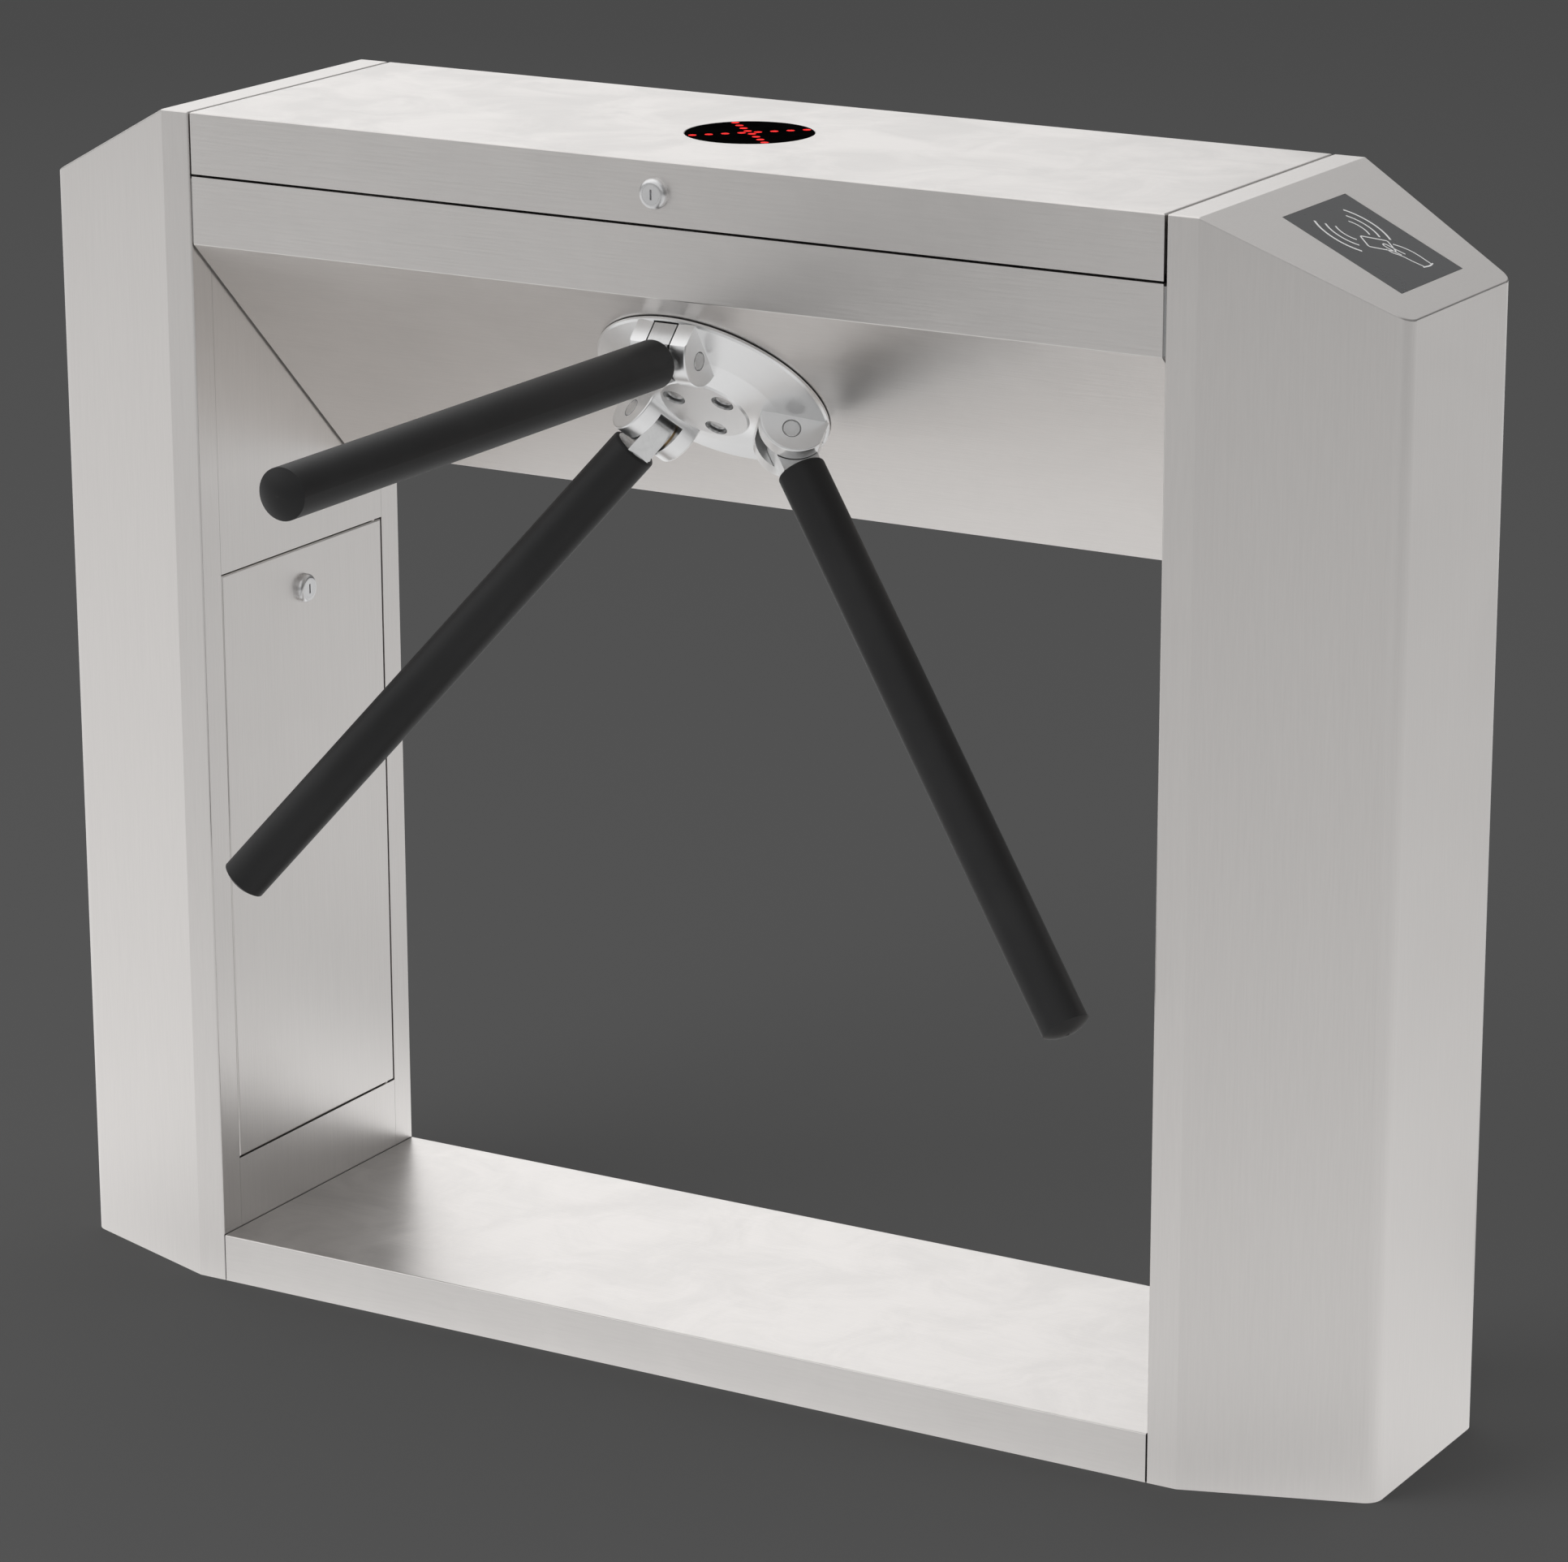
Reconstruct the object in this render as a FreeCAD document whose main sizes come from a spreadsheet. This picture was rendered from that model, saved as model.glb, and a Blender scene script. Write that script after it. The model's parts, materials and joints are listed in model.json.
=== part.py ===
"""A bridge-type tripod turnstile: two sheet-steel pedestals, a beam between them, and a three-arm hub.

Millimetres. The origin is on the floor under the middle of the cabinet, +Z is up, the walkway side with
the arms is -Y, and +X runs along the cabinet. The hub turns on an axis tilted 45 degrees below level, so
that one arm is always level and the other two point down out of the way.
"""
import FreeCAD, Part
import math
import operator
import os
import Sketcher

# Driving dimensions

SIZES = {
    # Cabinet outline
    "overall_length": 1200,
    "overall_depth": 280,
    "overall_height": 980,
    "pedestal_width": 170,
    "top_strip": 25.5,
    "end_depth": 180,
    "slope_drop": 70,
    "corner_radius": 15,
    "edge_radius": 1.5,
    "wall": 2,
    "seam": 2,
    "running_gap": 0.05,
    "hair_gap": 0.2,
    # Pedestal fittings
    "return_strip": 25,
    "panel_lap": 15,
    "floor_plate_thickness": 6,
    "anchor_radius": 7,
    "anchor_outer_setback": 55,
    "anchor_outer_edge": 30,
    "anchor_inner_setback": 45,
    "anchor_inner_edge": 40,
    "sill_height": 40,
    "sill_gap": 0.8,
    # Service doors
    "door_bottom": 100,
    "door_height": 500,
    "door_gap": 1.2,
    "door_return": 12,
    "door_lip": 14,
    "door_pivot_inset": 10,
    "door_pivot_depth": 3,
    "door_pin_radius": 2,
    # Cam locks
    "lock_bezel_radius": 12,
    "lock_bezel_height": 6,
    "lock_bezel_round": 4,
    "lock_barrel_radius": 9.5,
    "lock_barrel_length": 16,
    "lock_core_radius": 7.5,
    "lock_cam_gap": 0.5,
    "lock_cam_thickness": 3,
    "lock_cam_width": 12,
    "key_slot_width": 1.6,
    "key_slot_length": 8,
    "key_slot_depth": 4,
    "door_lock_drop": 36,
    "door_cam_length": 48,
    "lid_cam_length": 22,
    # Card readers behind the sloped tops
    "reader_window": 107,
    "reader_rim": 7,
    "reader_size": 92,
    "reader_depth": 16,
    "reader_plug_length": 30,
    "reader_plug_width": 15,
    "reader_plug_depth": 8,
    # Beam and lid
    "lid_flange": 50,
    "band_height": 55,
    "beam_height": 313,
    "beam_lip": 28,
    "end_plate_thickness": 4,
    "lid_skirt": 44,
    "strike_width": 18,
    "strike_gap": 1.5,
    "bolt_radius": 4,
    "bolt_head_radius": 6.5,
    "bolt_head_height": 5,
    "nut_height": 7,
    "bolt_edge": 38,
    # Lid hinge
    "hinge_length": 800,
    "hinge_knuckles": 9,
    "hinge_knuckle_radius": 3,
    "hinge_pin_radius": 1.5,
    "hinge_leaf_thickness": 1.5,
    "hinge_leaf_width": 20,
    "hinge_gap": 0.5,
    # Signal display in the lid
    "led_border": 1.3,
    "led_hole_chamfer": 0.8,
    "led_rim": 8,
    "led_rim_thickness": 3,
    "led_lens_radius": 3.2,
    "led_pitch": 13,
    "led_count": 8,
    "led_board_lap": 3,
    "led_board_thickness": 2,
    # Electronics on the beam's back wall
    "board_length": 180,
    "board_height": 120,
    "board_thickness": 2,
    "board_stand": 8,
    "board_stand_radius": 4,
    "board_stand_inset": 8,
    "chip_count": 3,
    "chip_pitch": 60,
    "chip_width": 30,
    "chip_height": 30,
    "chip_depth": 8,
    "supply_length": 160,
    "supply_height": 98,
    "supply_depth": 42,
    "electronics_setback": 138,
    # Hub and arms
    "hub_tilt": 45,
    "hub_drop": 119.3,
    "hub_radius": 96,
    "hub_rim": 2,
    "hub_shoulder_radius": 60,
    "hub_shoulder_height": 12.5,
    "hub_boss_radius": 37,
    "hub_boss_height": 21,
    "hub_gap": 1,
    "flange_setback": 0.5,
    "hub_bolt_circle": 25,
    "hub_counterbore_radius": 9,
    "hub_counterbore_depth": 8,
    "pivot_radius": 69,
    "pivot_height": 20,
    "clevis_width": 50,
    "clevis_slot": 22,
    "cheek_radius": 27.5,
    "cheek_centre": 11,
    "cheek_trim": 3,
    "clevis_floor": 4,
    "slot_inner_radius": 44,
    "arm_pin_radius": 7,
    "arm_pin_chamfer": 0.8,
    "washer_radius": 13,
    "washer_thickness": 1,
    "knuckle_gap": 1,
    "knuckle_play": 0.1,
    "arm_count": 3,
    "arm_radius": 19.1,
    "arm_tube_radius": 16,
    "arm_tube_wall": 2,
    "arm_root": 24.5,
    "arm_length": 519,
    "arm_dome": 6,
    "sleeve_edge": 0.5,
    "arm_end_wall": 10,
    # Shaft, bearings and frame of the mechanism
    "shaft_radius": 20,
    "shaft_flange_radius": 34,
    "shaft_flange_thickness": 6.5,
    "shaft_tail_radius": 17.5,
    "sensor_stub_radius": 10,
    "panel_bore_radius": 30,
    "plate_width": 230,
    "plate_height": 200,
    "front_plate_thickness": 16,
    "front_bearing_radius": 34,
    "front_bearing_lip": 1,
    "frame_space": 60,
    "rear_plate_thickness": 14,
    "rear_bearing_radius": 31,
    "pillar_radius": 8,
    "pillar_x": 105,
    "pillar_y": 90,
    "stud_x": 105,
    "stud_y": 40,
    "nut_radius": 26,
    "nut_thickness": 12,
    "nut_gap": 0.3,
    # Lock wheel and pawls
    "lock_wheel_radius": 65,
    "lock_wheel_gap": 6,
    "lock_wheel_thickness": 10,
    "lock_wheel_boss_radius": 28,
    "lock_wheel_boss_length": 10,
    "notch_count": 6,
    "notch_width": 18,
    "notch_depth": 12,
    "pawl_pivot_x": 73,
    "pawl_pivot_y": 76,
    "pawl_thickness": 4.6,
    "pawl_width": 12,
    "pawl_eye_radius": 10,
    "pawl_tooth_width": 7.6,
    "pawl_side_gap": 0.5,
    "pawl_tip_gap": 1.5,
    "pawl_release": 12,
    "pawl_pin_radius": 5,
    "pawl_pin_seat": 8,
    "solenoid_radius": 20,
    "solenoid_length": 40,
    # Gears, motor and position sensor
    "gear_module": 2,
    "gear_teeth": 60,
    "pinion_teeth": 20,
    "pressure_angle": 20,
    "gear_backlash": 0.2,
    "gear_root_depth": 2.5,
    "gear_width": 14,
    "pinion_overhang": 2,
    "motor_radius": 28,
    "motor_length": 90,
    "motor_cap_radius": 17,
    "motor_cap_length": 14,
    "motor_shaft_radius": 5,
    "motor_shaft_seat": 24,
    "encoder_radius": 30,
    "encoder_thickness": 2,
    "encoder_setback": 8,
    "sensor_width": 20,
    "sensor_slot": 6,
}

doc = FreeCAD.newDocument("tripod_turnstile")
sheet = doc.addObject("Spreadsheet::Sheet", "Dims")
for row, (word, number) in enumerate(SIZES.items(), start=1):
    sheet.set(f"A{row}", word)
    sheet.set(f"B{row}", str(number))
    sheet.setAlias(f"B{row}", word)
doc.recompute()


# Arithmetic on the cells

class Size:
    """An amount that knows its number and the cell expression that gives it."""

    def __init__(self, text, number):
        self.text = text
        self.number = number

    def __add__(self, other):
        return combine(self, "+", other)

    def __radd__(self, other):
        return combine(other, "+", self)

    def __sub__(self, other):
        return combine(self, "-", other)

    def __rsub__(self, other):
        return combine(other, "-", self)

    def __mul__(self, other):
        return combine(self, "*", other)

    def __rmul__(self, other):
        return combine(other, "*", self)

    def __truediv__(self, other):
        return combine(self, "/", other)

    def __rtruediv__(self, other):
        return combine(other, "/", self)

    def __neg__(self):
        return combine(0, "-", self)


SIGNS = {"+": operator.add, "-": operator.sub, "*": operator.mul, "/": operator.truediv}


def as_size(amount):
    if isinstance(amount, Size):
        return amount
    return Size(f"({amount:.9g})", float(amount))


def combine(first, sign, second):
    first = as_size(first)
    second = as_size(second)
    return Size(f"({first.text} {sign} {second.text})", SIGNS[sign](first.number, second.number))


def root(amount):
    return Size(f"sqrt({amount.text})", math.sqrt(amount.number))


def sine(angle):
    return Size(f"sin({angle.text})", math.sin(math.radians(angle.number)))


def cosine(angle):
    return Size(f"cos({angle.text})", math.cos(math.radians(angle.number)))


def tangent(angle):
    return Size(f"tan({angle.text})", math.tan(math.radians(angle.number)))


def half_tangent(slope):
    """Tangent of half the angle whose own tangent is slope."""
    return (root(1 + slope * slope) - 1) / slope


class Dimensions:
    """The sheet's cells by name, each as a Size."""

    def __getattr__(self, word):
        return Size(f"Dims.{word}", float(getattr(sheet, word)))


dim = Dimensions()


# Building blocks

MARGIN = 1  # how far a cutting tool stands past the face it cuts
nodes = {}
seats = {}


def node(label, thing):
    """Register a finished sub-part under the name of its file."""
    thing.Label = label
    nodes[label] = thing
    return thing


def bind(thing, path, amount):
    thing.setExpression(path, as_size(amount).text)


def frame(x=0, y=0, z=0, turn="z", angle=0):
    """A placement as cell text: a shift, then a turn about one axis of the shifted frame."""
    base = "; ".join(as_size(amount).text for amount in (x, y, z))
    return f"placement(vector({base}); rotation{turn}({as_size(angle).text}))"


def place(thing, *frames):
    """Carry a thing, from the place it has, into the last of a chain of frames."""
    seats[thing.Name] = [*frames, *seats.get(thing.Name, [])]
    thing.setExpression("Placement", " * ".join(seats[thing.Name]))
    return thing


def spread(half):
    """A span of half on each side of zero."""
    return (-half, half)


def mirrored(side, near, far):
    """A span between two distances from the middle, on the side +1 or -1."""
    return (near, far) if side > 0 else (-far, -near)


def box(across, along, upright):
    """A block between low and high values of x, y and z."""
    block = doc.addObject("Part::Box", "block")
    spans = (across, along, upright)
    for name, (low, high) in zip(("Length", "Width", "Height"), spans):
        bind(block, name, as_size(high) - low)
    return place(block, frame(*(low for low, high in spans)))


TURNS = {"x": ("y", 90), "y": ("x", -90), "z": ("z", 0)}


def cylinder(radius, span, axis="z", first=0, second=0):
    """A round bar along an axis, with its centre at the other two coordinates in x, y, z order."""
    bar = doc.addObject("Part::Cylinder", "bar")
    bind(bar, "Radius", radius)
    bind(bar, "Height", as_size(span[1]) - span[0])
    centre = {"x": (span[0], first, second), "y": (first, span[0], second), "z": (first, second, span[0])}
    turn, angle = TURNS[axis]
    return place(bar, frame(*centre[axis], turn=turn, angle=angle))


def fuse(*things):
    whole = doc.addObject("Part::MultiFuse", "whole")
    whole.Shapes = list(things)
    whole.Refine = True
    return whole


def cut(base, *tools):
    rest = doc.addObject("Part::Cut", "rest")
    rest.Base = base
    rest.Tool = tools[0] if len(tools) == 1 else fuse(*tools)
    rest.Refine = True
    return rest


def group(*things):
    bundle = doc.addObject("Part::Compound", "bundle")
    bundle.Links = list(things)
    return bundle


def ring(outer, inner, span, axis="z", first=0, second=0):
    bar = cylinder(outer, span, axis, first, second)
    bore = cylinder(inner, (as_size(span[0]) - MARGIN, as_size(span[1]) + MARGIN), axis, first, second)
    return cut(bar, bore)


# Sketched outlines

def fix_point(drawing, geometry, vertex, across, up):
    """Hold a point of a sketch at two distances from the sketch's origin."""
    for kind, amount in (("DistanceX", across), ("DistanceY", up)):
        if amount is not None:
            amount = as_size(amount)
            rule = Sketcher.Constraint(kind, -1, 1, geometry, vertex, amount.number)
            bind(drawing, f"Constraints[{drawing.addConstraint(rule)}]", amount)


def flat(point):
    return FreeCAD.Vector(as_size(point[0]).number, as_size(point[1]).number, 0)


def polygon(*corners, arcs=None):
    """A closed outline. arcs gives, by side number, the centre of a left-turning arc, and which of the
    centre's coordinates is held. The side's two ends settle the other one."""
    arcs = arcs or {}

    def draw(drawing):
        first = drawing.GeometryCount
        count = len(corners)
        for side in range(count):
            start = flat(corners[side])
            end = flat(corners[(side + 1) % count])
            if side in arcs:
                centre = flat(arcs[side]["centre"])
                angles = [math.atan2(p.y - centre.y, p.x - centre.x) for p in (start, end)]
                circle = Part.Circle(centre, FreeCAD.Vector(0, 0, 1), (start - centre).Length)
                drawing.addGeometry(Part.ArcOfCircle(circle, *angles))
            else:
                drawing.addGeometry(Part.LineSegment(start, end))
        for side in range(count):
            following = first + (side + 1) % count
            drawing.addConstraint(Sketcher.Constraint("Coincident", first + side, 2, following, 1))
            if side in arcs:
                centre = dict(zip("xy", arcs[side]["centre"]))
                held = [centre[letter] if letter == arcs[side]["held"] else None for letter in "xy"]
                fix_point(drawing, first + side, 3, *held)
        for side, (across, up) in enumerate(corners):
            fix_point(drawing, first + side, 1, across, up)

    return draw


def circle(radius, across=0, up=0):
    def draw(drawing):
        shape = Part.Circle(flat((across, up)), FreeCAD.Vector(0, 0, 1), as_size(radius).number)
        index = drawing.addGeometry(shape)
        fix_point(drawing, index, 3, across, up)
        rule = Sketcher.Constraint("Radius", index, as_size(radius).number)
        bind(drawing, f"Constraints[{drawing.addConstraint(rule)}]", radius)

    return draw


def sketch(body, role, loops, level=0):
    drawing = body.newObject("Sketcher::SketchObject", "outline")
    plane = next(feature for feature in body.Origin.OriginFeatures if feature.Role == role)
    drawing.AttachmentSupport = [(plane, "")]
    drawing.MapMode = "FlatFace"
    bind(drawing, "AttachmentOffset.Base.z", level)
    for draw in loops:
        draw(drawing)
    return drawing


def prism(role, loops, span):
    """A body padded from a sketch between two levels along the sketch plane's normal."""
    body = doc.addObject("PartDesign::Body", "body")
    pad = body.newObject("PartDesign::Pad", "pad")
    pad.Profile = sketch(body, role, loops, span[0])
    bind(pad, "Length", as_size(span[1]) - span[0])
    return body


def pocket(body, role, loops, half_length):
    """Cut an outline out of a body, to the same distance on both sides of the sketch plane."""
    hole = body.newObject("PartDesign::Pocket", "pocket")
    hole.Profile = sketch(body, role, loops)
    hole.SideType = "Symmetric"
    bind(hole, "Length", 2 * as_size(half_length))
    return body


def turned(*corners, arcs=None):
    """A body turned about its Z axis from an outline of radius and height."""
    body = doc.addObject("PartDesign::Body", "body")
    profile = sketch(body, "XZ_Plane", [polygon(*corners, arcs=arcs)])
    lathe = body.newObject("PartDesign::Revolution", "turned")
    lathe.Profile = profile
    lathe.ReferenceAxis = (profile, ["V_Axis"])
    lathe.Angle = 360
    return body


def round_edges(body, radius, chosen):
    """Fillet the edges of a body for which chosen(edge) is true."""
    doc.recompute()
    base = body.Tip
    names = [f"Edge{i}" for i, edge in enumerate(base.Shape.Edges, start=1) if chosen(edge)]
    fillet = body.newObject("PartDesign::Fillet", "rounded")
    fillet.Base = (base, names)
    bind(fillet, "Radius", radius)
    return body


def ends_at(edge, axis, value):
    """True where both ends of an edge lie at a value of x, y or z."""
    return all(abs(getattr(vertex.Point, axis) - value) < 1e-6 for vertex in edge.Vertexes)


# Values that several pieces share

SIDES = {"left": -1, "right": 1}

inner_x = dim.overall_length / 2 - dim.pedestal_width
outer_x = dim.overall_length / 2
half_depth = dim.overall_depth / 2
opening_half = half_depth - dim.return_strip
taper_run = dim.pedestal_width - dim.top_strip
taper = (dim.overall_depth - dim.end_depth) / 2 / taper_run
slope = dim.slope_drop / taper_run
slope_cosine = 1 / root(1 + slope * slope)
door_top = dim.door_bottom + dim.door_height

beam_half = inner_x - dim.seam
lid_line = dim.overall_height - dim.lid_flange
lid_edge = lid_line + dim.seam / 2
band_top = lid_line - dim.seam / 2
band_bottom = lid_line - dim.band_height
beam_bottom = dim.overall_height - dim.beam_height
panel_foot = -half_depth + (band_bottom - beam_bottom) * tangent(dim.hub_tilt)
back_wall = half_depth - dim.wall
hinge_y = half_depth - dim.hinge_knuckle_radius
hinge_z = band_top + dim.hinge_knuckle_radius
skirt_edge = dim.overall_height - dim.lid_skirt
led_cross = (dim.led_count - 1) / 2 * dim.led_pitch
led_window_radius = led_cross + dim.led_lens_radius + dim.led_border

hub_frame = frame(
    0,
    -half_depth + dim.hub_drop * sine(dim.hub_tilt),
    band_bottom - dim.hub_drop * cosine(dim.hub_tilt),
    turn="x",
    angle=90 + dim.hub_tilt,
)

# Levels along the hub axis, outwards from the panel's outer face
front_plate_top = -dim.wall
front_plate_back = front_plate_top - dim.front_plate_thickness
rear_plate_top = front_plate_back - dim.frame_space
rear_plate_back = rear_plate_top - dim.rear_plate_thickness
wheel_top = front_plate_back - dim.lock_wheel_gap
wheel_back = wheel_top - dim.lock_wheel_thickness
gear_top = wheel_back - dim.lock_wheel_boss_length
gear_back = gear_top - dim.gear_width
nut_top = rear_plate_back - dim.nut_gap
nut_back = nut_top - dim.nut_thickness
encoder_top = nut_back - dim.encoder_setback
encoder_back = encoder_top - dim.encoder_thickness
flange_back = dim.hub_gap + dim.flange_setback
flange_top = flange_back + dim.shaft_flange_thickness
pinion_x = dim.gear_module * (dim.gear_teeth + dim.pinion_teeth) / 2


def four_places(across, along):
    """The corners of a rectangle about the middle."""
    return [(x * across, y * along) for x in (-1, 1) for y in (-1, 1)]


# Pedestals

def plan_outline(side, inset):
    """A pedestal seen from above, a distance inside its outer faces."""
    bend = inner_x + dim.top_strip - inset * half_tangent(taper)
    far = outer_x - inset
    deep = half_depth - inset
    narrow = deep - (far - bend) * taper
    corners = [
        (inner_x + inset, -deep),
        (bend, -deep),
        (far, -narrow),
        (far, narrow),
        (bend, deep),
        (inner_x + inset, deep),
    ]
    return [(side * across, along) for across, along in corners]


def pedestal_block(side, inset, foot):
    """The solid form of a pedestal, a distance inside its outer faces, above a foot level."""
    top = dim.overall_height - inset
    bend = inner_x + dim.top_strip - inset * half_tangent(slope)
    reach = outer_x + MARGIN
    low = dim.overall_height - (reach - inner_x - dim.top_strip) * slope - inset / slope_cosine
    block = prism("XY_Plane", [polygon(*plan_outline(side, inset))], (foot, top))
    corner = (side * (outer_x - inset)).number
    upright = (top - foot).number

    def at_end(edge):
        return ends_at(edge, "x", corner) and abs(edge.Length - upright) < 1e-6

    round_edges(block, dim.corner_radius - inset, at_end)
    above = dim.overall_height + MARGIN
    wedge = [(bend, top), (reach, low), (reach, above), (bend, above)]
    outline = polygon(*[(side * across, up) for across, up in wedge])
    return pocket(block, "XZ_Plane", [outline], dim.overall_depth)


def rounded_pedestal(side):
    """The outer form of a pedestal, with its bends rounded along the top and the inner front corners."""
    block = pedestal_block(side, as_size(0), as_size(0))
    inner = (side * inner_x).number
    shoulder = (dim.overall_height - dim.slope_drop).number - 1e-6

    def bent(edge):
        if ends_at(edge, "x", inner):
            return not ends_at(edge, "z", 0)
        return edge.BoundBox.ZMin > shoulder

    return round_edges(block, dim.edge_radius, bent)


def slope_frame(side):
    """The middle of a sloped top's outer face, with local Z out of it."""
    across = side * (inner_x + dim.top_strip + taper_run / 2)
    angle = Size(f"atan({slope.text})", math.degrees(math.atan(slope.number)))
    lift = Size(f"({side}) * {angle.text}", side * angle.number)
    return frame(across, 0, dim.overall_height - dim.slope_drop / 2, turn="y", angle=lift)


def square(half, depth_span):
    return box(spread(half), spread(half), depth_span)


def pedestal_shell(name, side):
    """Folded and welded skin: tapered walls, sloped top and two return strips on the inner face."""
    hollow = pedestal_block(side, dim.wall, -dim.wall)
    mouth = box(
        mirrored(side, inner_x - MARGIN, inner_x + 2 * dim.wall),
        spread(opening_half),
        (-dim.wall, dim.overall_height - dim.wall),
    )
    window = place(square(dim.reader_window / 2, spread(3 * dim.wall)), slope_frame(side))
    node(f"{name}_pedestal_shell", cut(rounded_pedestal(side), hollow, mouth, window))


def floor_plate(name, side):
    """Thick foot inside the shell, with the holes for the floor anchors."""
    holes = [
        circle(dim.anchor_radius, side * across, sign * along)
        for across, along in (
            (outer_x - dim.anchor_outer_setback, dim.end_depth / 2 - dim.anchor_outer_edge),
            (inner_x + dim.anchor_inner_setback, half_depth - dim.anchor_inner_edge),
        )
        for sign in (-1, 1)
    ]
    outline = polygon(*plan_outline(side, dim.wall))
    plate = prism("XY_Plane", [outline, *holes], (0, dim.floor_plate_thickness))
    corner = (side * (outer_x - dim.wall)).number
    thickness = dim.floor_plate_thickness.number

    def at_end(edge):
        return ends_at(edge, "x", corner) and abs(edge.Length - thickness) < 1e-6

    node(f"{name}_floor_plate", round_edges(plate, dim.corner_radius - dim.wall, at_end))


def beam_bolt_places():
    """The y and z of the bolts that join a beam end to a pedestal."""
    low = beam_bottom + dim.bolt_edge
    high = band_top - dim.bolt_edge
    back = half_depth - dim.bolt_edge
    return [(back, low), (back, high), (-back, high)]


def inner_panel(name, side):
    """Fixed panel that laps behind the return strips and frames the service door."""
    foot = dim.floor_plate_thickness
    head = dim.overall_height - dim.wall
    lap = box(
        mirrored(side, inner_x + dim.wall, inner_x + 2 * dim.wall),
        spread(opening_half + dim.panel_lap),
        (foot, head),
    )
    face = box(
        mirrored(side, inner_x, inner_x + dim.wall),
        spread(opening_half - dim.hair_gap),
        (foot, head),
    )
    doorway = box(
        mirrored(side, inner_x - MARGIN, inner_x + 3 * dim.wall),
        spread(opening_half),
        (dim.door_bottom, door_top),
    )
    lips = [
        box(
            mirrored(side, inner_x, inner_x + dim.door_lip),
            spread(opening_half - dim.hair_gap),
            level,
        )
        for level in ((dim.door_bottom - dim.wall, dim.door_bottom), (door_top, door_top + dim.wall))
    ]
    pin_hole = cylinder(
        dim.door_pin_radius + dim.running_gap,
        (dim.door_bottom - dim.wall - MARGIN, door_top + dim.wall + MARGIN),
        "z",
        side * (inner_x + dim.door_pivot_depth),
        opening_half - dim.door_pivot_inset,
    )
    bolt_holes = [
        cylinder(
            dim.bolt_radius + dim.hair_gap,
            mirrored(side, inner_x - MARGIN, inner_x + 3 * dim.wall),
            "x",
            along,
            up,
        )
        for along, up in beam_bolt_places()
    ]
    framed = fuse(cut(fuse(lap, face), doorway), *lips)
    node(f"{name}_inner_panel", cut(framed, pin_hole, *bolt_holes))


def door(name, side):
    """Pan-shaped service door with a pivot pin at the top and bottom of its back edge."""
    half = opening_half - dim.door_gap
    low = dim.door_bottom + dim.door_gap
    high = door_top - dim.door_gap
    outline = polygon((-half, low), (half, low), (half, high), (-half, high))
    slab = prism("YZ_Plane", [outline], mirrored(side, inner_x, inner_x + dim.door_return))
    face = (side * inner_x).number
    round_edges(slab, dim.edge_radius, lambda edge: ends_at(edge, "x", face))
    pan = box(
        mirrored(side, inner_x + dim.wall, inner_x + dim.door_return + MARGIN),
        spread(half - dim.wall),
        (low + dim.wall, high - dim.wall),
    )
    hinge = (side * (inner_x + dim.door_pivot_depth), opening_half - dim.door_pivot_inset)
    pins = [
        cylinder(dim.door_pin_radius, span, "z", *hinge)
        for span in ((dim.door_bottom - dim.wall, low + dim.wall), (high - dim.wall, door_top + dim.wall))
    ]
    lock_hole = cylinder(
        dim.lock_barrel_radius + dim.hair_gap,
        mirrored(side, inner_x - MARGIN, inner_x + 2 * dim.wall),
        "x",
        0,
        door_top - dim.door_lock_drop,
    )
    node(f"{name}_door", cut(fuse(cut(slab, pan), *pins), lock_hole))


def cam_lock(name, seat, cam_length, slot_across):
    """Key lock in a frame whose Z points out of the face. Its cam rests along local -Y."""
    bore = dim.lock_core_radius + dim.running_gap
    barrel = turned(
        (bore, -dim.lock_barrel_length),
        (dim.lock_barrel_radius, -dim.lock_barrel_length),
        (dim.lock_barrel_radius, 0),
        (dim.lock_bezel_radius, 0),
        (dim.lock_bezel_radius, dim.lock_bezel_height - dim.lock_bezel_round),
        (dim.lock_bezel_radius - dim.lock_bezel_round, dim.lock_bezel_height),
        (bore, dim.lock_bezel_height),
        arcs={4: {"centre": (dim.lock_bezel_radius - dim.lock_bezel_round, 0), "held": "x"}},
    )
    node(f"{name}_barrel", place(barrel, seat))
    cam_top = -dim.lock_barrel_length - dim.lock_cam_gap
    cam_back = cam_top - dim.lock_cam_thickness
    plug = cylinder(dim.lock_core_radius, (cam_back, dim.lock_bezel_height))
    cam = box(
        spread(dim.lock_cam_width / 2),
        (-cam_length, dim.lock_cam_width / 2),
        (cam_back, cam_top),
    )
    narrow = spread(dim.key_slot_width / 2)
    wide = spread(dim.key_slot_length / 2)
    slot = box(
        wide if slot_across else narrow,
        narrow if slot_across else wide,
        (dim.lock_bezel_height - dim.key_slot_depth, dim.lock_bezel_height + MARGIN),
    )
    node(f"{name}_core", place(cut(fuse(plug, cam), slot), seat))


def card_reader(name, side):
    """Flush window with a rim behind the skin, and the reader fixed to its back."""
    window = fuse(
        square(dim.reader_window / 2 - dim.hair_gap, (-dim.wall, 0)),
        square(dim.reader_window / 2 + dim.reader_rim, (-2 * dim.wall, -dim.wall)),
    )
    node(f"{name}_reader_window", place(window, slope_frame(side)))
    front = -2 * dim.wall
    back = front - dim.reader_depth
    case = square(dim.reader_size / 2, (back, front))
    plug = box(
        spread(dim.reader_plug_length / 2),
        spread(dim.reader_plug_width / 2),
        (back - dim.reader_plug_depth, back),
    )
    node(f"{name}_card_reader", place(fuse(case, plug), slope_frame(side)))


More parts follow.
